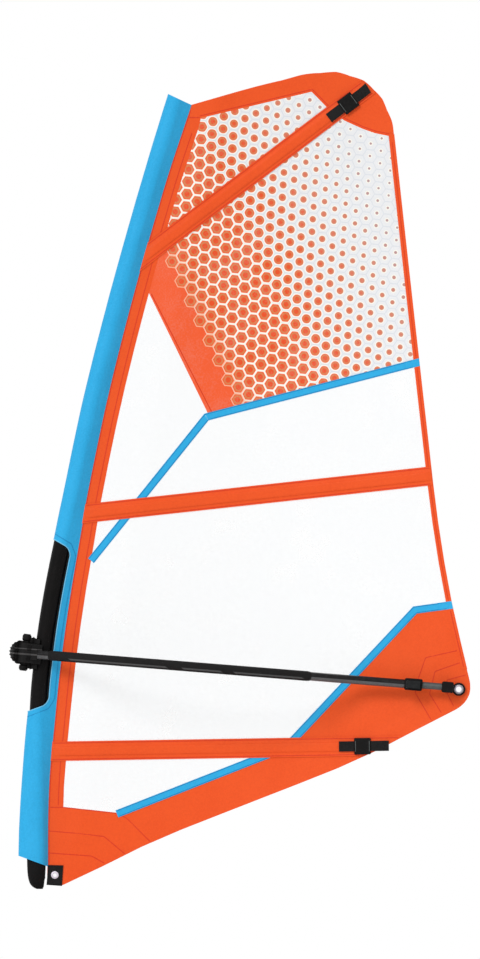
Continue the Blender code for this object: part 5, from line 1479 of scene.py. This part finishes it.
# %% Clamp shell, webs and fins
def shell_arc(name, low, high, lean):
    """An arc round the front of the mast between two heights; its far edge swells out in the middle."""
    turns, rows = 20, 5

    def place(i, j):
        angle = math.pi + SHELL_HALF_TURN * (2 * i / turns - 1)
        rise = low + (high - low) * j / rows
        rise += lean * (j / rows) * (1 - abs(2 * i / turns - 1)) ** 2
        return head_place(SHELL_INNER * math.cos(angle), SHELL_INNER * math.sin(angle), rise)

    shell = grid_piece(name, turns, rows, place)
    middle = len(shell.data.polygons) // 2
    outward(shell, shell.data.polygons[middle].center - head_place(0, 0, (low + high) / 2), middle)
    thick(shell, SHELL_OUTER - SHELL_INNER, 1.0)
    return smooth_shaded(changed(shell, "BEVEL", width=0.0006, segments=2, limit_method="ANGLE"), 50)


shell_parts = [
    shell_arc("shell_top", SHELL_LOW, SHELL_HIGH - 0.003, 0.004),
    shell_arc("shell_foot", -SHELL_LOW, -SHELL_HIGH + 0.003, -0.002),
    bar_piece("web_top", (-0.0245, 0.0, 0.0258), (0.0125, 0.0090, 0.0124), 0.0010),
    bar_piece("web_foot", (-0.0245, 0.0, -0.0250), (0.0125, 0.0090, 0.0108), 0.0010),
]
shell = joined("head_clamp_shell", shell_parts)
dressed(shell, PLASTIC, "black_plastic", BOOM)

FIN_FIRST, FIN_PITCH, FIN_AWAY = -0.0322, 0.0022, 0.0200
FIN_THICKNESS, FIN_DEPTH, FIN_EDGE = 0.0011, 0.0017, 0.0003
fins = []
for across in (-1, 1):
    for k in range(4):
        for name, up, height in (("upper", 0.0115, 0.0115), ("lower", -0.0105, 0.0105)):
            centre = (FIN_FIRST + FIN_PITCH * k, across * FIN_AWAY, up)
            size = (FIN_THICKNESS, FIN_DEPTH, height)
            fins.append(bar_piece(f"fin_{name}_{across}_{k}", centre, size, FIN_EDGE))
fins = joined("head_block_fins", fins)
dressed(fins, PLASTIC, "black_plastic", BOOM)

block = softened("boom_head_block", HEAD_PLASTIC_PAINTED_HIGHLIGHTS, BOOM, 0.0010)
for node in ("head_hinge_pin", "head_pin_knob"):
    knob = softened(node, PLASTIC, BOOM, 0.0006)
    for vert in knob.data.vertices:
        place = INTO_HEAD @ vert.co
        if KNOB_FOOT[0] < abs(place.z) < KNOB_FOOT[1]:
            place.z -= math.copysign(KNOB_SEAT, place.z)
            vert.co = HEAD_FRAME @ place
    knob.data.update()
print([f"{piece.name} {len(piece.data.polygons)} faces" for piece in (block, shell, fins)])

# %% [markdown]
# Two thin grey bars hold the webbing down, one at each side of a tension buckle. They could be lines in
# the buckle's finish, but they stand on the webbing and catch the light, so they are bars like the fins.

# %% Bars of the tension buckles
BUCKLES = {"upper": Vector((0.6172, LUFF_TOP + 0.0032)), "lower": Vector((0.6454, 0.2856))}
BUCKLE_TOP, BAR_AWAY, BAR_SIZE = 0.00775, 0.0138, (0.0015, 0.0016, 0.0215)
bars = []
for name, at in BUCKLES.items():
    along, across = ways_of(*POCKET_LINES[name])
    for side in (-1, 1):
        spot = at + along * (side * BAR_AWAY)
        middle = sail_place(spot.x, spot.y, -BUCKLE_TOP)
        turn = Matrix(((along.x, 0.0, across.x), (0.0, 1.0, 0.0), (along.y, 0.0, across.y))).to_4x4()
        turned = Matrix.Translation(middle) @ turn
        bars.append(bar_piece(f"bar_{name}_{side}", (0, 0, 0), BAR_SIZE, 0.0005, turned))
bars = joined("tension_buckle_bars", bars)
dressed(bars, GREY_TUBE, "grey_anodised", ROOT)
print(f"{len(BUCKLES) * 2} bars")

# %% [markdown]
# The mast's two tubes get more sides, so that its long edges and its shine run smoothly from the foot
# to the head. The rubber boot round its foot is wrapped in the same way, over rings that grow from a
# small sole to the full oval.

# %% Smooth mast tubes and boot
MAST_START, MAST_JOINT, MAST_END, MAST_WALL = 0.0205, 0.850, LUFF_TOP - 0.006, 0.002
for name, low, high in (("lower", MAST_START, MAST_JOINT), ("upper", MAST_JOINT + 0.0003, MAST_END)):
    line = [(mast_x(z), 0.0, z) for z in levels(low, high, 0.02)]
    tube = tube_piece(f"mast_{name}_laminate", line, MAST_RADIUS, 48, MAST_WALL)
    dressed(tube, LAMINATE, "black_laminate", ROOT, f"mast_{name}_tube")
print(f"mast tube {len(tube.data.polygons)} faces")

BOOT_RINGS = (
    (0.0000, -0.0058, 0.0058, 0.0090),
    (0.0046, -0.0142, 0.0080, 0.0135),
    (0.0146, -0.0210, 0.0094, 0.0170),
    (0.0380, -0.0248, 0.0118, 0.0187),
    (0.0960, -0.0258, 0.0122, 0.0190),
)
boot_line = rounded_line([Vector(ring) for ring in BOOT_RINGS], 6)
BOOT_TURNS = 40


def boot_place(i, j):
    height, front, aft, half = boot_line[j]
    angle = 2 * math.pi * i / BOOT_TURNS
    middle, reach = (front + aft) / 2, (aft - front) / 2
    return Vector((middle + reach * math.cos(angle), half * math.sin(angle), height))


boot = grid_piece("mast_foot_rubber_boot", BOOT_TURNS, len(boot_line) - 1, boot_place)
wrapped_up(boot, bpy.ops.mesh.edge_face_add)
smooth_shaded(boot, 40)
dressed(boot, RUBBER, "black_rubber", ROOT, "mast_foot_boot")
print(f"boot {len(boot.data.polygons)} faces")

# %% [markdown]
# A sewn seam shows in two ways: the thread itself, and the low ridge where the layers are pulled
# together; the ridge is coloured darker than the cloth, as painted shade of that pucker. Both are thin,
# but from a distance they are what makes cloth look sewn. Painting them in the material would slide off
# the layers, so they are laid on the finished cloth: a ray is cast onto it at every few millimetres of a
# seam, and what it meets gives the place and the facing of the next stitch.

# %% Cast seam lines onto the cloth
STITCH_PITCH, RAY_START = 0.0042, 0.2


def tree_of(pieces):
    corners, faces = [], []
    for piece in pieces:
        first = len(corners)
        corners += [vert.co.copy() for vert in piece.data.vertices]
        faces += [[first + index for index in face.vertices] for face in piece.data.polygons]
    return BVHTree.FromPolygons(corners, faces)


PANELS = [SAIL[name] for name in SAIL if name.endswith("_panel") or name.startswith("printed")]
SKINS = {
    "panels": tree_of(PANELS),
    "tapes": tree_of([SAIL[name] for name in SAIL if name.endswith("_tape")]),
    "windows": tree_of([SAIL[name] for name in SAIL if name.endswith("_window")]),
    "binding": tree_of([SAIL["leech_binding"]]),
    "pockets": tree_of(POCKETS.values()),
    "sleeve": tree_of([SLEEVE_LOW, SLEEVE_HIGH, flanks]),
}


def even_places(line):
    """Points at the pitch of the stitches on a line of two- or three-part points."""
    return evenly([Vector(point) for point in line], STITCH_PITCH)[:-1]


def on_sail(line, side=-1, skin="panels"):
    """A seam on the sail, given as distance aft and height, as places and facings."""
    found = []
    for place in even_places(line):
        start = Vector((place.x, RAY_START * side, place.y))
        hit, facing, _, _ = SKINS[skin].ray_cast(start, Vector((0.0, -side, 0.0)))
        if hit is not None:
            found.append((hit, facing if facing.y * side > 0 else -facing))
    return found


def on_sleeve(line):
    """A seam on the sleeve, given as points just outside it."""
    found = []
    for place in even_places(line):
        hit, facing, _, _ = SKINS["sleeve"].find_nearest(place)
        found.append((hit, facing if facing.dot(place - hit) > 0 else -facing))
    return found


print(f"seams can be laid on {len(PANELS)} panels, the tapes, the binding, the pockets and the sleeve")

# %% [markdown]
# Where the seams run follows the photograph: along both edges of every pocket and tape, down the luff
# strip and the leech, round the cutout, and in fans from the tack and the clew, where extra layers of
# cloth spread the pull. Each line is a short list of points, in metres aft and up.

# %% Where the seams run
LEECH = smooth(
    [(0.418, 0.8596), (0.578, 0.8226), (0.738, 0.7956), (0.898, 0.7766), (1.218, 0.7406), (1.518, 0.7076)]
)
HEAD_LOW = [(0.3224, -0.0260), (0.5438, 0.0264), (0.5760, -0.0064), (0.6098, -0.0314)]
HEAD_LOW += [(0.6456, -0.0476), (0.6706, -0.0564), (0.6974, -0.0618)]
HEAD_EDGE = [Vector((aft, LUFF_TOP + rise)) for aft, rise in HEAD_LOW]


def corner_of(node, highest):
    """The highest or lowest corner of a flat solid, as distance aft and height."""
    pick = max if highest else min
    co = pick((vert.co for vert in NODES[node].data.vertices), key=lambda co: co.z)
    return Vector((co.x, co.z))


HEM_TOP = corner_of("luff_window", True)
HEM_FOOT = Vector((0.3374, 0.9492))
UPPER_TAPE = [corner_of("luff_window", False), Vector((0.3336, 0.9440)), Vector((0.7640, 1.0550))]
CLEW_TAPE = [(0.8250, 0.5683), (0.7506, 0.5580), (0.4926, 0.2830), (0.1542, 0.1500)]
CLEW_TAPE = [Vector(point) for point in CLEW_TAPE]
TAPE_EDGE = 0.0060
LUFF_STITCH, PANEL_EDGE = 0.021, 0.031
POCKET_HEM, SEAM_INSET = 0.0032, 0.003


def beside(line, distance):
    """A line drawn beside another, mitred at its corners."""
    made = []
    for i, point in enumerate(line):
        before = (point - line[i - 1]).normalized() if i else (line[1] - line[0]).normalized()
        after = (line[i + 1] - point).normalized() if i + 1 < len(line) else before
        first, second = Vector((-before.y, before.x)), Vector((-after.y, after.x))
        made.append(point + (first + second) * (distance / (1 + first.dot(second))))
    return made


def up_the_luff(low, high, aft):
    return [Vector((seam_at(z) + aft, z)) for z in levels(low, high, 0.02)]


def up_the_leech(low, high, inside):
    return [Vector((LEECH(z) - inside, z)) for z in levels(low, high, 0.02)]


TACK_LEVEL, HEAD_LEVEL = 0.1632, 1.5428
TACK_SEAM = seam_at(TACK_LEVEL)
PANEL_SEAMS = [
    up_the_luff(0.168, 1.515, LUFF_STITCH),
    up_the_luff(0.052, 1.560, 0.0035),
    beside(HEAD_EDGE, 0.0045)[:2],
    beside(HEAD_EDGE, 0.0045)[1:],
    [HEM_TOP + Vector((0.005, -0.002)), HEM_FOOT + Vector((0.007, 0.004))],
    [(TACK_SEAM, TACK_LEVEL), (TACK_SEAM + PANEL_EDGE, TACK_LEVEL), (0.1542, 0.1515)],
    [(seam_at(HEAD_LEVEL), HEAD_LEVEL), (0.3224, HEAD_LEVEL)],
    [(0.1542, 0.152), (0.1746, 0.141), (0.2222, 0.0935)],
    [(0.0186, 0.116), (0.0786, 0.111), (0.1286, 0.105), (0.1706, 0.070)],
    [(0.0186, 0.072), (0.1038, 0.066), (0.1286, 0.052)],
    [(0.8402, 0.478), (0.7716, 0.4626), (0.7578, 0.4224), (0.751, 0.3926), (0.783, 0.338)],
    [(0.8446, 0.454), (0.7906, 0.4352), (0.7798, 0.390), (0.8036, 0.352)],
    [(0.8516, 0.428), (0.8146, 0.418), (0.8146, 0.3926), (0.8286, 0.364)],
]
POCKET_SEAMS = []
for name, line in POCKET_LINES.items():
    along, across, ends = strip_ends(name + "_batten_pocket", line)
    for side in (-1, 1):
        v = side * (POCKET_WIDTHS[name] / 2 - POCKET_HEM)
        start, end = end_at(ends, v, 0) + SEAM_INSET, end_at(ends, v, 1) - SEAM_INSET
        POCKET_SEAMS.append([line[0] + along * start + across * v, line[0] + along * end + across * v])
BLUE_SEAMS = [beside(tape, TAPE_EDGE * side) for tape in (UPPER_TAPE, CLEW_TAPE) for side in (-1, 1)]
print(f"{len(PANEL_SEAMS) + len(POCKET_SEAMS) + 1} seams in orange thread and {len(BLUE_SEAMS)} in blue")

# %% [markdown]
# Two of the blue tapes run on over the leech's binding to the very edge of the sail. Their ends are
# laid on the finished binding with the same rays as the seams, row by row, until the rays miss it.

# %% Tape ends on the leech
TAPE_END_LAP, TAPE_HALF, TAPE_END_PROUD = 0.030, 0.0077, 0.00025
TAPE_END_COLUMNS, TAPE_END_ROWS, TAPE_END_STEP = 5, 24, 0.0005
TAPE_END_BRIDGE, TAPE_END_WALL = 0.0016, 0.0003
UNDER_TAPE = ("binding", "tapes", "panels", "windows")


def nearest_port(x, z, skins):
    """How far to port the outermost of some skins lies at a place, or nothing."""
    start, way = Vector((x, -RAY_START, z)), Vector((0.0, 1.0, 0.0))
    found = [SKINS[skin].ray_cast(start, way)[0] for skin in skins]
    return min((hit.y for hit in found if hit is not None), default=None)


def tape_end(name, start, end):
    along, across = ways_of(start, end)
    first = (end - start).length - TAPE_END_LAP
    columns, rows = TAPE_END_COLUMNS, TAPE_END_ROWS
    spots, depths = [], []
    for i in range(columns + 1):
        side = start + across * (TAPE_HALF * (2 * i / columns - 1))
        tried = [first + TAPE_END_STEP * k for k in range(int(2 * TAPE_END_LAP / TAPE_END_STEP))]
        met = [run for run in tried if nearest_port(*(side + along * run), ("binding",)) is not None]
        length = (met[-1] if met else first + TAPE_END_LAP) - first
        spots.append([side + along * (first + length * j / rows) for j in range(rows + 1)])
    for j in range(rows + 1):
        row = []
        for i in range(columns + 1):
            near = [spots[i][j] + along * shift for shift in (-TAPE_END_BRIDGE, 0.0, TAPE_END_BRIDGE)]
            met = [nearest_port(*spot, UNDER_TAPE) for spot in near]
            row.append(min((depth for depth in met if depth is not None), default=None))
        known = [i for i, depth in enumerate(row) if depth is not None]
        depths.append([row[min(known, key=lambda other: abs(other - i))] for i in range(columns + 1)])

    def place(i, j):
        return Vector((spots[i][j].x, depths[j][i] - TAPE_END_PROUD, spots[i][j].y))

    piece = thick(outward(grid_piece(name, columns, rows, place), (0, -1, 0)), TAPE_END_WALL, 0.0)
    return dressed(smooth_shaded(piece, 50), BLUE_CLOTH, "blue_cloth", ROOT)


tape_ends = [
    tape_end("clew_tape_end", Vector((0.7506, 0.5580)), Vector((0.8280, 0.5687))),
    tape_end("upper_tape_end", Vector((0.3336, 0.9440)), Vector((0.7600, 1.0540))),
]
print([len(piece.data.polygons) for piece in tape_ends])

# %% [markdown]
# One stitch is modelled: a small ball with four sides that is drawn out to the length of a dash. There
# are thousands of them, so the one stitch has only sixteen faces, and its points are repeated in one
# mesh at every place of the seams. The ridge under them is a flat diamond in section.

# %% Stitches and seam ridges
STITCH_LENGTH, STITCH_WIDTH, STITCH_HEIGHT = 0.0029, 0.0009, 0.00046
RIDGE_HALF, RIDGE_TOP, RIDGE_ROOT, SEAM_CLEAR = 0.0011, 0.00022, 0.00018, 0.00002


def one_stitch():
    dash = started(bpy.ops.mesh.primitive_uv_sphere_add, "dash", segments=4, ring_count=4, radius=0.5)
    with editing(dash):
        bpy.ops.transform.rotate(value=math.pi / 2, orient_axis="Y", center_override=(0.0, 0.0, 0.0))
        bpy.ops.transform.resize(value=(STITCH_LENGTH, STITCH_WIDTH, STITCH_HEIGHT))
        bpy.ops.mesh.normals_make_consistent(inside=False)
    corners = [vert.co.copy() for vert in dash.data.vertices]
    faces = [list(face.vertices) for face in dash.data.polygons]
    bpy.data.objects.remove(dash)
    return corners, faces


DASH_CORNERS, DASH_FACES = one_stitch()


def frames_of(seam):
    places = [place for place, _ in seam]
    for i, (place, facing) in enumerate(seam):
        ahead = ahead_at(places, i)
        across = facing.cross(ahead).normalized()
        yield place, ahead, across, ahead.cross(across).normalized()


def mesh_piece(name, corners, faces):
    mesh = bpy.data.meshes.new(name)
    mesh.from_pydata(corners, [], faces)
    return linked(name, mesh)


def stitches(name, seams, material, slot):
    corners, faces = [], []
    for seam in seams:
        for place, ahead, across, facing in frames_of(seam):
            first = len(corners)
            turn = Matrix((ahead, across, facing)).transposed()
            middle = place + facing * (RIDGE_TOP + SEAM_CLEAR)
            corners += [middle + turn @ corner for corner in DASH_CORNERS]
            faces += [[first + index for index in face] for face in DASH_FACES]
    return dressed(smooth_shaded(mesh_piece(name, corners, faces), 80), material, slot, ROOT)


def ridges(name, seams, material, slot):
    corners, faces = [], []
    for seam in seams:
        first = len(corners)
        for place, _, across, facing in frames_of(seam):
            corners += [
                place - across * RIDGE_HALF + facing * SEAM_CLEAR,
                place + facing * RIDGE_TOP,
                place + across * RIDGE_HALF + facing * SEAM_CLEAR,
                place - facing * RIDGE_ROOT,
            ]
        last = len(corners) - 4
        for a in range(first, last, 4):
            faces += [[a + k, a + 4 + k, a + 4 + (k + 1) % 4, a + (k + 1) % 4] for k in range(4)]
        faces += [[first, first + 1, first + 2, first + 3], [last + 3, last + 2, last + 1, last]]
    piece = mesh_piece(name, corners, faces)
    with editing(piece):
        bpy.ops.mesh.normals_make_consistent(inside=False)
    return dressed(smooth_shaded(piece, 80), material, slot, ROOT)


# The ridges are darker than the cloth: painted shade of the pucker along each seam.
SEAM_ORANGE_PAINTED_SHADE = cloth("orange_seam_painted_shade", seen(226, 64, 24), seen(214, 56, 24))
SEAM_BLUE_PAINTED_SHADE = cloth("blue_seam_painted_shade", seen(28, 146, 204), seen(22, 132, 190))
orange_laid = [on_sail(line, side) for line in PANEL_SEAMS for side in (-1, 1)]
LEECH_RUNS = [(-1, 0.445, 0.558), (-1, 0.578, 1.042), (-1, 1.063, 1.495), (1, 0.445, 1.495)]
orange_laid += [on_sail(up_the_leech(low, high, 0.0055), side, "binding") for side, low, high in LEECH_RUNS]
orange_laid += [on_sail(line, -1, "pockets") for line in POCKET_SEAMS]
blue_laid = [on_sail(line, -1, "tapes") for line in BLUE_SEAMS]
blue_laid += [on_sleeve(cutout_edge(side, 0.010, 0.0015)) for side in (-1, 1)]
orange_laid = [seam for seam in orange_laid if len(seam) > 2]
blue_laid = [seam for seam in blue_laid if len(seam) > 2]
ridges("orange_seam_ridges", orange_laid, SEAM_ORANGE_PAINTED_SHADE, "orange_cloth")
ridges("blue_seam_ridges", blue_laid, SEAM_BLUE_PAINTED_SHADE, "blue_cloth")
stitches("orange_stitches", orange_laid, ORANGE_THREAD, "orange_cloth")
stitches("blue_stitches", blue_laid, BLUE_THREAD, "blue_cloth")
print(f"{sum(map(len, orange_laid))} orange stitches and {sum(map(len, blue_laid))} blue ones")

# %% [markdown]

# %% [markdown]
# The photograph has a plain white ground. The floor is pale and keeps the rig's soft shadow. To the
# camera the world is white, and a soft grey world with two lamps lights the rig at a plain level.

# %% Floor, world and lamps
WORLD_LEVEL, FLOOR_SIZE = 0.62, 8.0


def floor_finish():
    look = Finish("studio_floor", Roughness=0.9)
    speckle = look.add("TexNoise", Vector=look.place(), Scale=30.0, Detail=3.0)
    look.put(look.shader, "Base Color", look.mix(speckle, seen(246, 246, 246), seen(252, 252, 252)))
    return look.material


floor = started(
    bpy.ops.mesh.primitive_plane_add, "studio_floor_plane", size=FLOOR_SIZE, location=(0.4, 0.0, -0.001)
)
floor.data.materials.append(floor_finish())
floor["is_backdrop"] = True

world = bpy.data.worlds.new("studio")
bpy.context.scene.world = world
world.use_nodes = True
sky = Tree(world.node_tree)
ground = world.node_tree.nodes["Background"]
path = sky.add("LightPath")
shown = sky.math("MAXIMUM", path.outputs["Is Camera Ray"], path.outputs["Is Glossy Ray"])
shown = sky.math("MAXIMUM", shown, path.outputs["Is Transmission Ray"])
sky.put(ground, "Color", (1.0, 1.0, 1.0, 1.0))
sky.put(ground, "Strength", sky.scaled(shown, 1.0 - WORLD_LEVEL, WORLD_LEVEL))


def sun(name, strength, direction, spread):
    data = bpy.data.lights.new(name, "SUN")
    data.energy = strength
    data.angle = math.radians(spread)
    linked(name, data).rotation_euler = Vector(direction).to_track_quat("-Z", "Y").to_euler()


sun("key", 1.35, (0.45, 0.80, -0.60), 20.0)
sun("back", 0.7, (-0.3, -0.85, -0.55), 25.0)
bpy.context.scene.view_settings.view_transform = "Standard"
print("lamps:", sorted(lamp.name for lamp in bpy.data.lights))

# %% Sizes and finish
SIZES["visual"] = [list(corner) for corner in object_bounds()]
print("box of the dressed rig:", SIZES["visual"])
